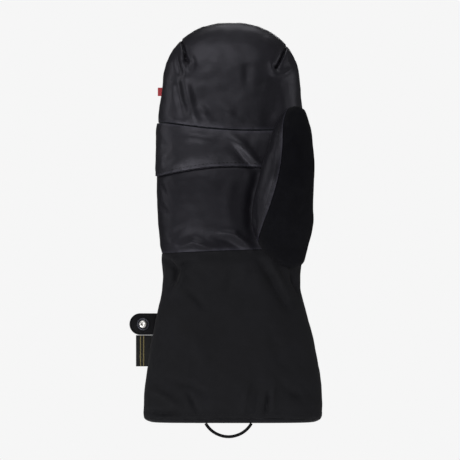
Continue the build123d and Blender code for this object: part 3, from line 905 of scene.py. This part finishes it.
# %% Lining and collar of the hood
def tucked(depth, clear):
    """How far a ring of the collar hangs under the seam at an angle, fading out towards the back."""
    def lift(angle):
        y = on_ring(angle, 245.0, 4.0).y / MM
        share = 1 - smooth(-6.0, 5.0, y)
        return clear - (clear + depth) * share
    return lift


# down the outside of the collar, round its edge, up its inside and into the fleece: lift and inset of each ring (mm)
COLLAR = (
    (3.0, 1.3), (tucked(-0.6, 2.0), 1.9), (tucked(2.0, 1.9), 3.0), (tucked(5.6, 1.8), 3.3), (tucked(6.6, 1.8), 3.8),
    (tucked(6.9, 1.8), 4.5), (tucked(6.6, 1.8), 5.3), (tucked(5.6, 2.0), 5.8), (tucked(2.0, 3.2), 6.1),
    (tucked(-4.0, 6.0), 6.8), (12.0, 7.2),
)
rings = [seam_ring(HOOD_SEAM, *row) for row in COLLAR]
rings += [level_ring(h, 7.2) for h in dome_heights(264.0, 7.2)]
bm = lofted(rings, close=False)
top = max(v.co.z for v in bm.verts)
bmesh.ops.holes_fill(bm, edges=[e for e in bm.edges if e.is_boundary and e.verts[0].co.z > top - 1 * MM], sides=0)
bmesh.ops.recalc_face_normals(bm, faces=bm.faces)
hood_lining = lining("hood_lining_skin", bm, "hood", "hood_lining", "hood_wadding", "hood_collar")

# %% [markdown]
# ## Hem of the gauntlet
# The nylon is turned in at the mouth over a drawcord and sewn down. The roll is tucked up under the skin, so only a
# narrow lip shows below the nylon's edge, and it puckers between the stitches. It is a closed ring of rings, and
# the puckers are ripples of uneven height. The flat gauntlet's bottom corners are rounded off.

# %% Hem roll
# height and share of the rounding of the corners, and how far out it begins and is full (mm)
HEM_CORNER, CORNER_TUCK, CORNER_FROM, CORNER_TO = 5.0, 0.8, 52.0, 72.0
# each ripple: how many waves go round the hem, where they start, and their height in mm
puckers = random.Random(5)
ripple = [(puckers.uniform(14, 46), puckers.uniform(0, 6.3), puckers.uniform(0.03, 0.16)) for _ in range(9)]


def hem_ring(height, inset, share):
    """Ring of the hem, rippled by a share of the puckers' height."""
    def point(angle):
        bulge = sum(size * math.sin(round(count) * angle + shift) for count, shift, size in ripple)
        place = on_ring(angle, height, inset - bulge * share)
        side = smooth(CORNER_FROM, CORNER_TO, abs(place.x) / MM)
        low = (1 - min(1.0, height / HEM_CORNER)) ** 2
        place.x -= math.copysign(HEM_CORNER * side * low * CORNER_TUCK * MM, place.x)
        return place
    return point


# height, inset (mm) and share of the puckers: down the hidden outside, round the lip and up the inside
HEM = (
    (9.6, 4.4, 0.2), (8.0, 4.0, 0.3), (6.2, 3.2, 0.4), (5.0, 2.0, 0.5), (4.3, 1.1, 0.6), (3.6, 0.6, 0.7),
    (2.8, 0.35, 0.8), (2.0, 0.25, 0.8), (1.2, 0.3, 0.8), (0.5, 0.6, 0.7), (0.1, 1.2, 0.5), (0.1, 2.1, 0.4),
    (0.4, 3.2, 0.4), (1.3, 4.4, 0.4), (3.0, 5.2, 0.6), (5.5, 5.5, 0.5), (8.0, 5.3, 0.3), (9.4, 4.9, 0.2),
)
hem = new_object("hem_roll", lofted([hem_ring(*row) for row in HEM], around=240, ring_shaped=True))
subdivided(hem)
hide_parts("hem_fold", "hem_drawcord")
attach(hem, "hand")
print("hem", len(hem.data.polygons), "faces")

# %% [markdown]
# ## Stitches
# Most seams are turned and show no thread. Topstitching shows where a layer is sewn flat: along the lower edge of
# the grip band, up the gusset of the thumb, over the hem and round the snap tab. Each stitch is a short rounded
# grain of thread. A ray from outside finds where it lies on the leather.

# %% Stitch helpers
# length and step of a stitch, thickness of the thread, how deep it sinks in, and the jump that ends a row (mm)
STITCH_LONG, STITCH_STEP, THREAD, STITCH_SUNK, ROW_BREAK = 2.5, 3.3, 0.55, 0.08, 6
# how far outside and inside the form a ray towards it starts and aims, and how far it reaches (mm)
RAY_OUT, RAY_IN, RAY_REACH = 16.0, 14.0, 40.0
# how far each row runs from its seam, and the hem's row from the mouth (mm)
BAND_ROW, GUSSET_ROW, HEM_ROW = 2.2, 3.6, 7.6


def surface_of(*objects):
    bm = bmesh.new()
    for obj in objects:
        bm.from_mesh(obj.data)
    tree = BVHTree.FromBMesh(bm)
    bm.free()
    return tree


def stitch_row(bm, hits):
    """Lay stitches along a dense row of (place, normal), at even steps."""
    gone, due = 0.0, STITCH_STEP / 2
    count = 0
    for (a, normal_a), (b, normal_b) in zip(hits, hits[1:]):
        length = (b - a).length / MM
        if length > ROW_BREAK:
            gone = due = 0.0
            continue
        if gone + length >= due:
            along = (b - a).normalized()
            out = (normal_a + normal_b).normalized()
            out = (out - along * out.dot(along)).normalized()
            turn = Matrix((along, out.cross(along), out)).transposed().to_4x4()
            size = Matrix.Diagonal((STITCH_LONG * MM, THREAD * MM, THREAD * MM, 1))
            place = Matrix.Translation(a.lerp(b, (due - gone) / length) - out * STITCH_SUNK * MM)
            bmesh.ops.create_uvsphere(bm, u_segments=6, v_segments=6, radius=0.5, matrix=place @ turn @ size)
            due += STITCH_STEP
            count += 1
        gone += length
    return count


def around_form(tree, heights, angles):
    """Where rays towards the form's axis meet the skin."""
    hits = []
    for angle, height in zip(angles, heights):
        far = on_ring(angle, height, -RAY_OUT)
        place, normal = tree.ray_cast(far, (on_ring(angle, height, RAY_IN) - far).normalized(), RAY_REACH * MM)[:2]
        if place is not None:
            hits.append((place, normal))
    return hits


def from_front(tree, spots):
    """Where rays from the palm side meet the skin at (x, height) spots."""
    hits = []
    for x, height in spots:
        place, normal = tree.ray_cast(Vector((x * MM, -0.15, height * MM)), Vector((0, 1, 0)))[:2]
        if place is not None:
            hits.append((place, normal))
    return hits


# %% Topstitching
bm = bmesh.new()
tree = surface_of(band)
angles = [math.radians(a / 2) for a in range(2 * 176, 2 * 352)]
heights = [seam_height(BAND_SEAM, on_ring(a, 205.0)) + BAND_ROW for a in angles]
count = stitch_row(bm, around_form(tree, heights, angles))
tree = surface_of(gusset)
spots = [(thumb_seam(Vector((0, 0, h * MM))) - GUSSET_ROW, h) for h in range(150, 246)]
count += stitch_row(bm, from_front(tree, spots))
tree = surface_of(cuff_front, cuff_back)
angles = [math.radians(a / 2) for a in range(721)]
count += stitch_row(bm, around_form(tree, [HEM_ROW] * len(angles), angles))
thread_rows = new_object("topstitching", bm)
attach(thread_rows, "hand")
print("stitches:", count)

# %% [markdown]
# ## Knuckle welt and hinge strip
# The hood hangs on the back of the hand along one seam at the knuckles. A piped welt covers that seam, and under
# it one strip of leather runs from the hand into the hood. The strip bends as the hood turns; here it is made once,
# in the form's rest shape, and follows neither body.

# %% Hinge strip
# half width, lowest and highest point, and how far the strip lies under the form (mm)
STRIP_HALF, STRIP_LOW, STRIP_HIGH, STRIP_INSET = 40.0, 238.0, 254.0, 1.7
bm = bmesh.new()
bmesh.ops.create_grid(bm, x_segments=40, y_segments=16, size=1.0)
for vert in bm.verts:
    x = vert.co.x * STRIP_HALF
    height = STRIP_LOW + (vert.co.y + 1) / 2 * (STRIP_HIGH - STRIP_LOW)
    left, right, depth = ring_at(height)
    wide = right if x > 0 else left
    power = squareness(height)
    y = (depth - STRIP_INSET) * (1 - (abs(x) / (wide - STRIP_INSET)) ** power) ** (1 / power)
    vert.co = Vector((x, y, height)) * MM
bmesh.ops.recalc_face_normals(bm, faces=bm.faces)
strip = applied(thickened(new_object("hinge_strip", bm), 0.8))
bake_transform(strip)
print("hinge strip", len(strip.data.polygons), "faces")

# %% [markdown]
# ## Snap tab, label and ribbon
# A small leather tab with a press stud sticks out of the little-finger side of the gauntlet, with a folded woven
# label sewn in below it and a narrow ribbon in the side of the hood. The tab bends at its root; here its leather is
# made once, in its rest place, and follows no body. Ribbons are one strip folded back on itself.

# %% Snap tab
tab_low, tab_high = box_mm("tab_strap")
TAB_HEIGHT = (tab_low.z + tab_high.z) / 2
TAB_ROUND = (tab_high.z - tab_low.z) / 2
TAB_END = tab_low.x
TAB_THICK = tab_high.y - tab_low.y
stud_low, stud_high = box_mm("snap_stud")
STUD_X = (stud_low.x + stud_high.x) / 2
TAB_HINGE = Vector(joint("tab_hinge")["pos_m"])
lean = Vector(joint("tab_hinge")["axis"])
# how far the tab runs on into the seam, the skin left off each face for the rounded edge, and that edge (mm)
TAB_ROOT, TAB_SKIM, TAB_EDGE = 4.5, 0.15, 0.55
# a shallow line is pressed in along the edge, and the strap has a row of points every few mm to bend at
LINE_WIDE, LINE_DEEP, BEND_STEP = 0.3, 0.16, 2.1

bm = bmesh.new()
bmesh.ops.create_circle(bm, cap_ends=True, segments=64, radius=TAB_ROUND)
for vert in bm.verts:
    x, z = vert.co.x, vert.co.y
    if x > 0.01:
        x = (TAB_HINGE.x / MM + TAB_ROOT - (TAB_END + TAB_ROUND)) + z * lean.x / lean.z
    vert.co = Vector((TAB_END + TAB_ROUND + x, -TAB_THICK / 2 + TAB_SKIM, TAB_HEIGHT + z)) * MM
bmesh.ops.dissolve_limit(bm, angle_limit=math.radians(1), verts=bm.verts, edges=bm.edges)
grown = bmesh.ops.extrude_face_region(bm, geom=bm.faces[:])
bmesh.ops.translate(bm, verts=[v for v in grown["geom"] if isinstance(v, bmesh.types.BMVert)],
                    vec=(0, (TAB_THICK - 2 * TAB_SKIM) * MM, 0))
bmesh.ops.recalc_face_normals(bm, faces=bm.faces)
rim_edges = [e for e in bm.edges if abs(e.verts[0].co.y - e.verts[1].co.y) < 1e-6]
bmesh.ops.bevel(bm, geom=rim_edges, offset=TAB_EDGE * MM, offset_type="OFFSET", segments=3, profile=0.5,
                affect="EDGES", material=-1)
flat = [f for f in bm.faces if abs(f.normal.y) > 0.99 and f.calc_area() > 50 * MM * MM]
for depth in (-LINE_DEEP, LINE_DEEP):
    bmesh.ops.inset_region(bm, faces=flat, thickness=TAB_EDGE * MM, depth=0)
    bmesh.ops.inset_region(bm, faces=flat, thickness=LINE_WIDE * MM, depth=depth * MM)
for level in range(9):
    bmesh.ops.bisect_plane(bm, geom=bm.verts[:] + bm.edges[:] + bm.faces[:], plane_no=(1, 0, 0),
                           plane_co=((TAB_END + 6 + level * BEND_STEP) * MM, 0, 0))
tab = new_object("tab_leather", bm)
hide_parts("tab_strap")
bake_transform(tab)
print("tab", len(tab.data.polygons), "faces")


def turn_back(gone, straight, radius):
    """A path of two straights joined by a half circle: (along, across) after a length of it, in mm."""
    if gone < straight:
        return straight - gone, radius
    if gone < straight + math.pi * radius:
        turn = (gone - straight) / radius
        return -math.sin(turn) * radius, math.cos(turn) * radius
    return gone - straight - math.pi * radius, -radius


# the row runs round the tab's free end on both faces and stops short of the bend (mm)
ROW_INSET, ROW_STRAIGHT, ROW_POINTS = 2.0, 14.5, 120
bm = bmesh.new()
for side in (-1, 1):
    reach = TAB_ROUND - ROW_INSET
    outline = []
    for step in range(ROW_POINTS):
        gone = step / (ROW_POINTS - 1) * (2 * ROW_STRAIGHT + math.pi * reach)
        x, z = turn_back(gone, ROW_STRAIGHT, reach)
        x += TAB_END + TAB_ROUND
        if x < TAB_HINGE.x / MM - 1.6:
            place = Vector((x, side * (TAB_THICK / 2 - TAB_SKIM - 0.02), TAB_HEIGHT + z)) * MM
            outline.append((place, Vector((0, side, 0))))
    stitch_row(bm, outline)
tab_stitches = new_object("tab_stitches", bm)
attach(tab_stitches, "snap_tab")


# %% Press stud
def turned(name, profile, body, *nodes):
    """Spin a profile of (radius, distance in front of the strap's middle) round the stud's axis."""
    bm = bmesh.new()
    row = [bm.verts.new((STUD_X * MM + r * MM, -out * MM, TAB_HEIGHT * MM)) for r, out in profile]
    edges = [bm.edges.new(pair) for pair in zip(row, row[1:])]
    bmesh.ops.spin(bm, geom=row + edges, cent=(STUD_X * MM, 0, TAB_HEIGHT * MM), axis=(0, 1, 0),
                   angle=2 * math.pi, steps=48, use_merge=True)
    bmesh.ops.remove_doubles(bm, verts=bm.verts, dist=1e-6)
    bmesh.ops.recalc_face_normals(bm, faces=bm.faces)
    made = new_object(name, bm)
    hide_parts(*nodes)
    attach(made, body)
    return made


ring_low, ring_high = box_mm("snap_ring")
RING = (ring_high.z - ring_low.z) / 2
FACE, FLANGE, STUD_TOP = TAB_THICK / 2, -ring_low.y, -stud_low.y
STUD = 3.2
snap_ring = turned("snap_flange", [
    (1.7, FACE), (RING - 0.5, FACE), (RING - 0.12, FACE + 0.12), (RING, FACE + 0.35), (RING - 0.15, FLANGE - 0.12),
    (RING - 0.6, FLANGE), (RING - 1.1, FLANGE - 0.05), (RING - 1.45, FLANGE - 0.28), (STUD + 0.55, FLANGE - 0.3),
    (STUD + 0.15, FLANGE - 0.1), (STUD - 0.4, FLANGE - 0.02), (1.7, FLANGE - 0.02), (1.7, FACE),
], "snap_tab", "snap_ring")
snap_stud = turned("snap_knob", [
    (0.0, -FACE), (1.55, -FACE), (1.55, FLANGE), (STUD - 0.45, FLANGE), (STUD - 0.6, FLANGE + 0.5),
    (STUD - 0.35, FLANGE + 1.0), (STUD - 0.05, FLANGE + 1.35), (STUD, STUD_TOP - 0.75), (STUD - 0.2, STUD_TOP - 0.3),
    (STUD - 0.65, STUD_TOP - 0.05), (1.6, STUD_TOP), (1.15, STUD_TOP - 0.12), (0.7, STUD_TOP - 0.42),
    (0.0, STUD_TOP - 0.5),
], "snap_tab", "snap_stud")
snap_cap = turned("snap_back", [
    (0.0, -FACE), (RING - 0.5, -FACE), (RING, -FACE - 0.25), (RING - 0.2, -FACE - 0.5), (RING - 1.2, -FACE - 0.72),
    (2.4, -FACE - 0.78), (1.9, -FACE - 0.7), (1.5, -FACE - 0.72), (0.0, -FACE - 0.74),
], "snap_tab", "snap_cap")


# %% Woven label and side ribbon
def folded_ribbon(name, node_name, body, thickness, inside, wave):
    """One strip of ribbon folded back on itself, with its two ends inside the side seam and a slight wave (mm)."""
    low, high = box_mm(node_name)
    half = (high.y - low.y) / 2 - thickness / 2
    straight = high.x + inside - low.x - half
    total = 2 * straight + math.pi * half
    bm = bmesh.new()
    bmesh.ops.create_grid(bm, x_segments=48, y_segments=14, size=1.0)
    for vert in bm.verts:
        gone = (vert.co.x + 1) / 2 * total
        share = (vert.co.y + 1) / 2
        x, y = turn_back(gone, straight, half)
        y = wave * smooth(0.0, straight, straight - x) * math.sin(share * 4.2 + 0.6) - y
        vert.co = Vector((low.x + half + x, y, low.z + share * (high.z + 0.3 - low.z))) * MM
    bmesh.ops.recalc_face_normals(bm, faces=bm.faces)
    made = applied(thickened(new_object(name, bm), thickness))
    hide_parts(node_name)
    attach(made, body)
    return made


label = folded_ribbon("label_ribbon", "woven_label", "hand", 0.3, 2.0, 0.5)
ribbon = folded_ribbon("side_tape", "side_ribbon", "hood", 0.35, 1.2, 0.1)
print("label", len(label.data.polygons), "ribbon", len(ribbon.data.polygons), "faces")

# %% [markdown]
# ## Pull loop
# A short end of the drawcord hangs out of the hem as a loop, to tug the gauntlet over a sleeve. It is a thin
# braided cord that leaves the hem downwards and bows evenly.

# %% Pull loop
CORD_THICK = 2.5 * MM
# the route's points (x, z) at one depth, as in the CAD model (mm)
CORD_Y = -22.6
LOOP = [(-21.2, 0.0), (-17.2, -6.9), (-2.4, -12.3), (12.4, -6.9), (16.4, 0.0)]
curve = bpy.data.curves.new("pull_route", "CURVE")
curve.dimensions = "3D"
spline = curve.splines.new("NURBS")
spline.points.add(len(LOOP) - 1)
for point, (x, z) in zip(spline.points, LOOP):
    point.co = (x * MM, CORD_Y * MM, z * MM, 1)
spline.order_u = 3
spline.use_endpoint_u = True
curve.resolution_u = 16
route = bpy.data.objects.new("pull_route", curve)
bpy.context.scene.collection.objects.link(route)
line = bpy.data.meshes.new_from_object(route.evaluated_get(bpy.context.evaluated_depsgraph_get()))
path = [v.co.copy() for v in line.vertices]
curve.bevel_depth = CORD_THICK / 2
curve.bevel_resolution = 6
curve.use_fill_caps = True
bpy.context.view_layer.update()
tube = bpy.data.meshes.new_from_object(route.evaluated_get(bpy.context.evaluated_depsgraph_get()))
bm = bmesh.new()
bm.from_mesh(tube)
bmesh.ops.remove_doubles(bm, verts=bm.verts, dist=1e-6)
bmesh.ops.recalc_face_normals(bm, faces=bm.faces)
pull = new_object("pull_loop_cord", bm)
bpy.data.objects.remove(route)
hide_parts("pull_loop")
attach(pull, "hand")
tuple(path[0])
print("pull loop, mm:", round(sum((b - a).length for a, b in zip(path, path[1:])) / MM, 1))

# %% [markdown]
# ## Materials
# Everything on the mitten is black, so the finishes differ in gloss and grain, not in colour. Each gets its own
# grain, at its real size where the eye can see it. Every finish ends in the same way: one pattern mixes its
# darkest and its lightest tone, and one pattern raises its surface.

# %% How a finish ends
# a wave pattern repeats after this length (m) where its scale is 1
WAVE = 0.314


def surfaced(tree, shader, share, dark, light, height=None, strength=0.0, depth=0.0, **settings):
    """Colour a finish by a share from dark to light, and raise it by a height, up to a depth in mm."""
    tone = node(tree, "ShaderNodeMix", {"data_type": "RGBA"}, i0=share, i6=srgb(dark), i7=srgb(light))
    tree.links.new(tone.outputs[2], shader.inputs["Base Color"])
    if height:
        bump = node(tree, "ShaderNodeBump", settings, Strength=strength, Distance=depth * MM, Height=height)
        tree.links.new(bump.outputs[0], shader.inputs["Normal"])
    return tone.outputs[2]


# %% [markdown]
# ## Leathers
# Aniline goatskin is drum-dyed right through and waxed, with its grain side out: a fine pebble of about a
# millimetre with pores in it, and a soft sheen that is uneven where hands rub it. Its cut edges are painted paler,
# partly as scuffing and partly as a painted highlight along the edge.
# On the palm and the gusset, grip has dulled the wax. The tab is split leather under a polyurethane film, embossed
# with a regular pebble, and mirrors less.

# %% Goatskin
GRAIN = 1.1 * MM
goatskin, tree, shader, place = new_material(
    "aniline goatskin, smooth side out", "#131217", 0.5,
    IOR=1.5, Specular_IOR_Level=0.42, Specular_Tint=srgb("#eeecfa"),
)
pebble = node(tree, "ShaderNodeTexVoronoi", {"feature": "SMOOTH_F1"}, Vector=place, Scale=1 / GRAIN, Smoothness=0.7)
pores = node(tree, "ShaderNodeTexNoise", Vector=place, Scale=0.6 / MM, Detail=3.0)
cloud = node(tree, "ShaderNodeTexNoise", Vector=place, Scale=38.0, Detail=4.0)
relief = node(tree, "ShaderNodeMix", {"data_type": "FLOAT"},
              i0=0.35, i2=pebble.outputs["Distance"], i3=pores.outputs[0])
tone = surfaced(tree, shader, cloud.outputs[0], "#0d0d10", "#18171c", relief.outputs[0], 0.22, 0.25)
# painted highlight: cut edges are mixed towards a pale tone, partly for scuffing and partly as painted light along the
# edge
rim = node(tree, "ShaderNodeAttribute", {"attribute_name": "rim"})
edge_scuff_and_highlight = node(tree, "ShaderNodeMix", {"data_type": "RGBA", "clamp_factor": True},
            i0=rim.outputs["Fac"], i6=tone, i7=srgb("#2c2b33"))
gloss = node(tree, "ShaderNodeMapRange", Value=cloud.outputs[0], i3=0.36, i4=0.52)
tree.links.new(edge_scuff_and_highlight.outputs[2], shader.inputs["Base Color"])
tree.links.new(gloss.outputs[0], shader.inputs["Roughness"])

palm_finish = goatskin.copy()
palm_finish.name = "aniline goatskin, dulled by grip"
shader = next(n for n in palm_finish.node_tree.nodes if n.type == "BSDF_PRINCIPLED")
shader.inputs["Specular IOR Level"].default_value = 0.25

# %% Coated leather of the tab
coated, tree, shader, place = new_material(
    "polyurethane-coated leather, black", "#08080b", 0.6, Specular_IOR_Level=0.12,
)
emboss = node(tree, "ShaderNodeTexVoronoi", {"feature": "SMOOTH_F1"}, Vector=place, Scale=1.0 / MM, Smoothness=0.5)
surfaced(tree, shader, emboss.outputs["Distance"], "#0b0b10", "#050507", emboss.outputs["Distance"], 0.2, 0.15)

# %% [markdown]
# ## Suede and nylon
# Suede is the split's flesh side, brushed to a nap of fibres shorter than a millimetre that swallow the light, with
# faint darker strokes where they lie another way. The gauntlet is plain-woven nylon of thick textured yarn, dull and
# a little mottled. Its threads are about 0.4 mm apart; they are drawn 1 mm apart, as fine as the picture can show.

# %% Suede
suede_finish, tree, shader, place = new_material(
    "split suede, brushed nap", "#08090b", 0.95, Specular_IOR_Level=0.03, Sheen_Weight=0.02, Sheen_Roughness=0.6,
)
nap = node(tree, "ShaderNodeTexNoise", Vector=place, Scale=1.1 / MM, Detail=2.0)
brushed = node(tree, "ShaderNodeTexNoise", Vector=place, Scale=70.0, Detail=5.0, Distortion=1.5)
surfaced(tree, shader, brushed.outputs[0], "#0a0a0d", "#131317", nap.outputs[0], 0.5, 0.3)

# %% Woven nylon
NYLON_THREAD = 1.0 * MM
nylon, tree, shader, place = new_material(
    "plain-woven nylon, matt face", "#0f0f11", 0.8, Specular_IOR_Level=0.22, Sheen_Weight=0.03,
)
warp, weft = (node(tree, "ShaderNodeTexWave", {"bands_direction": way}, Vector=place, Scale=WAVE / NYLON_THREAD,
                   Distortion=0.4, Detail=1.0) for way in "XZ")
threads = node(tree, "ShaderNodeMath", {"operation": "MULTIPLY"}, i0=warp.outputs["Fac"], i1=weft.outputs["Fac"])
mottle = node(tree, "ShaderNodeTexNoise", Vector=place, Scale=60.0, Detail=5.0)
surfaced(tree, shader, mottle.outputs[0], "#09090c", "#131318", threads.outputs[0], 0.18, 0.2)

# %% [markdown]
# ## Linings and thread
# Fleece is a polyester knit, raised and sheared: tufts of about 2 mm under a fuzz, dark in the gaps and with no
# gloss. Tricot is warp-knitted in smooth yarn, so its wales show as fine upright lines. Bonded polyester thread is
# twisted from plies under a thin resin, so it is smoother than the cloth round it.

# %% Fleece, tricot and thread
fleece, tree, shader, place = new_material(
    "brushed polyester fleece", "#26282c", 1.0, Specular_IOR_Level=0.1, Sheen_Weight=0.25,
)
tufts = node(tree, "ShaderNodeTexVoronoi", {"feature": "SMOOTH_F1"}, Vector=place, Scale=0.55 / MM, Smoothness=0.6)
fuzz = node(tree, "ShaderNodeTexNoise", Vector=place, Scale=1.4 / MM, Detail=3.0)
pile = node(tree, "ShaderNodeMix", {"data_type": "FLOAT"}, i0=0.5, i2=tufts.outputs["Distance"], i3=fuzz.outputs[0])
surfaced(tree, shader, pile.outputs[0], "#33353b", "#1b1c20", pile.outputs[0], 0.7, 0.6, invert=True)

WALE = 1.2 * MM
tricot, tree, shader, place = new_material("warp-knitted tricot", "#1a1b1e", 0.75)
wales = node(tree, "ShaderNodeTexWave", {"bands_direction": "X"}, Vector=place, Scale=WAVE / WALE, Distortion=1.0)
surfaced(tree, shader, wales.outputs["Fac"], "#111214", "#202226", wales.outputs["Fac"], 0.35, 0.3)

thread, tree, shader, place = new_material("bonded polyester thread", "#1d1d21", 0.6, Specular_IOR_Level=0.2)
plies = node(tree, "ShaderNodeTexNoise", Vector=place, Scale=2.5 / MM, Detail=1.0)
surfaced(tree, shader, plies.outputs[0], "#0a0a0c", "#151518")

# %% [markdown]
# ## Cord, label and ribbon
# The cord is an elastic core in a braided polyester sleeve, so its strands cross at 45 degrees. The label is satin
# weave, left bare but for two gold stripes woven in. The ribbon is grosgrain, whose thick weft makes cross ribs.

# %% Cord, label and ribbon
STRAND, LABEL_RIB, RIBBON_RIB = 0.8 * MM, 0.7 * MM, 0.8 * MM
braid, tree, shader, place = new_material("braided polyester cord", "#0c0c0e", 0.7, Specular_IOR_Level=0.15)
turns = [node(tree, "ShaderNodeMapping", Vector=place, Rotation=(0, math.radians(lean), 0)) for lean in (45, -45)]
one, two = (node(tree, "ShaderNodeTexWave", {"bands_direction": "X"}, Vector=turn.outputs[0], Scale=WAVE / STRAND)
            for turn in turns)
plait = node(tree, "ShaderNodeMath", {"operation": "MAXIMUM"}, i0=one.outputs["Fac"], i1=two.outputs["Fac"])
surfaced(tree, shader, plait.outputs[0], "#040405", "#0c0c0e", plait.outputs[0], 0.5, 0.25)

# middle of the first stripe from the label's fold, the next one's distance from it, and half their width (mm)
STRIPE_AT, STRIPE_STEP, STRIPE_HALF = 3.6, 2.6, 0.4
woven, tree, shader, place = new_material(
    "satin-woven label, two gold stripes", "#0b0b0c", 0.6, Specular_IOR_Level=0.25,
)
across = node(tree, "ShaderNodeSeparateXYZ", Vector=place).outputs["X"]
weft = node(tree, "ShaderNodeTexWave", {"bands_direction": "Z"}, Vector=place, Scale=WAVE / LABEL_RIB).outputs["Fac"]
stripes = []
for shift in (0, 1):
    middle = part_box("woven_label")[0][0] + (STRIPE_AT + shift * STRIPE_STEP) * MM
    gap = node(tree, "ShaderNodeMath", {"operation": "SUBTRACT"}, i0=across, i1=middle)
    size = node(tree, "ShaderNodeMath", {"operation": "ABSOLUTE"}, i0=gap.outputs[0])
    inside = node(tree, "ShaderNodeMath", {"operation": "LESS_THAN"}, i0=size.outputs[0], i1=STRIPE_HALF * MM)
    stripes.append(inside.outputs[0])
striped = node(tree, "ShaderNodeMath", {"operation": "MAXIMUM"}, i0=stripes[0], i1=stripes[1])
tone = surfaced(tree, shader, weft, "#4e4424", "#93865a", weft, 0.3, 0.15)
label_tone = node(tree, "ShaderNodeMix", {"data_type": "RGBA"}, i0=striped.outputs[0], i6=srgb("#070708"), i7=tone)
tree.links.new(label_tone.outputs[2], shader.inputs["Base Color"])

red, tree, shader, place = new_material("grosgrain ribbon, red", "#b0262e", 0.6)
ribs = node(tree, "ShaderNodeTexWave", {"bands_direction": "Z"}, Vector=place, Scale=WAVE / RIBBON_RIB)
surfaced(tree, shader, ribs.outputs["Fac"], "#8f1d25", "#c63840", ribs.outputs["Fac"], 0.4, 0.2)

# %% [markdown]
# ## Metal
# The stud is turned brass with bright nickel plate, the base ring and the cap behind it gunmetal plate. Both are
# tumbled, which leaves fine scuffs: the mirror is a little uneven, and softer than polished metal.


# %% Metal
def plated(name, colour, roughness, scuffs_per_mm, low, high):
    """Tumbled plate with fine scuffs, which vary its roughness between two values."""
    material, tree, shader, place = new_material(name, colour, roughness, Metallic=1.0)
    scuffs = node(tree, "ShaderNodeTexNoise", Vector=place, Scale=scuffs_per_mm / MM, Detail=3.0)
    gloss = node(tree, "ShaderNodeMapRange", Value=scuffs.outputs[0], i3=low, i4=high)
    tree.links.new(gloss.outputs[0], shader.inputs["Roughness"])
    return material


nickel = plated("nickel-plated brass", "#dddbd7", 0.35, 1.2, 0.3, 0.42)
gunmetal = plated("gunmetal-plated brass", "#4a4b52", 0.3, 0.9, 0.25, 0.5)

# %% Dress every piece
FINISHES = (
    (goatskin, "leather", (hood_front, hood_back, back, band, strip, hood_allowance, hand_allowance)),
    (palm_finish, "leather", (palm, gusset)),
    (coated, "leather", (tab,)),
    (suede_finish, "suede", (suede,)),
    (nylon, "nylon", (cuff_front, cuff_back, hem, tape, cuff_allowance)),
    (fleece, "fleece", (hand_lining, hood_lining)),
    (tricot, "tricot", (gauntlet_lining,)),
    (thread, "cord", (thread_rows, tab_stitches)),
    (braid, "cord", (pull,)),
    (woven, "label", (label,)),
    (red, "ribbon", (ribbon,)),
    (nickel, "nickel", (snap_stud,)),
    (gunmetal, "black_metal", (snap_ring, snap_cap)),
)
for material, slot, objects in FINISHES:
    for obj in objects:
        obj.data.materials.clear()
        obj.data.materials.append(material)
for welt_slot in frame["nodes"]["knuckle_welt"].material_slots:
    welt_slot.material = goatskin

# %% Update the scene
bpy.context.view_layer.update()
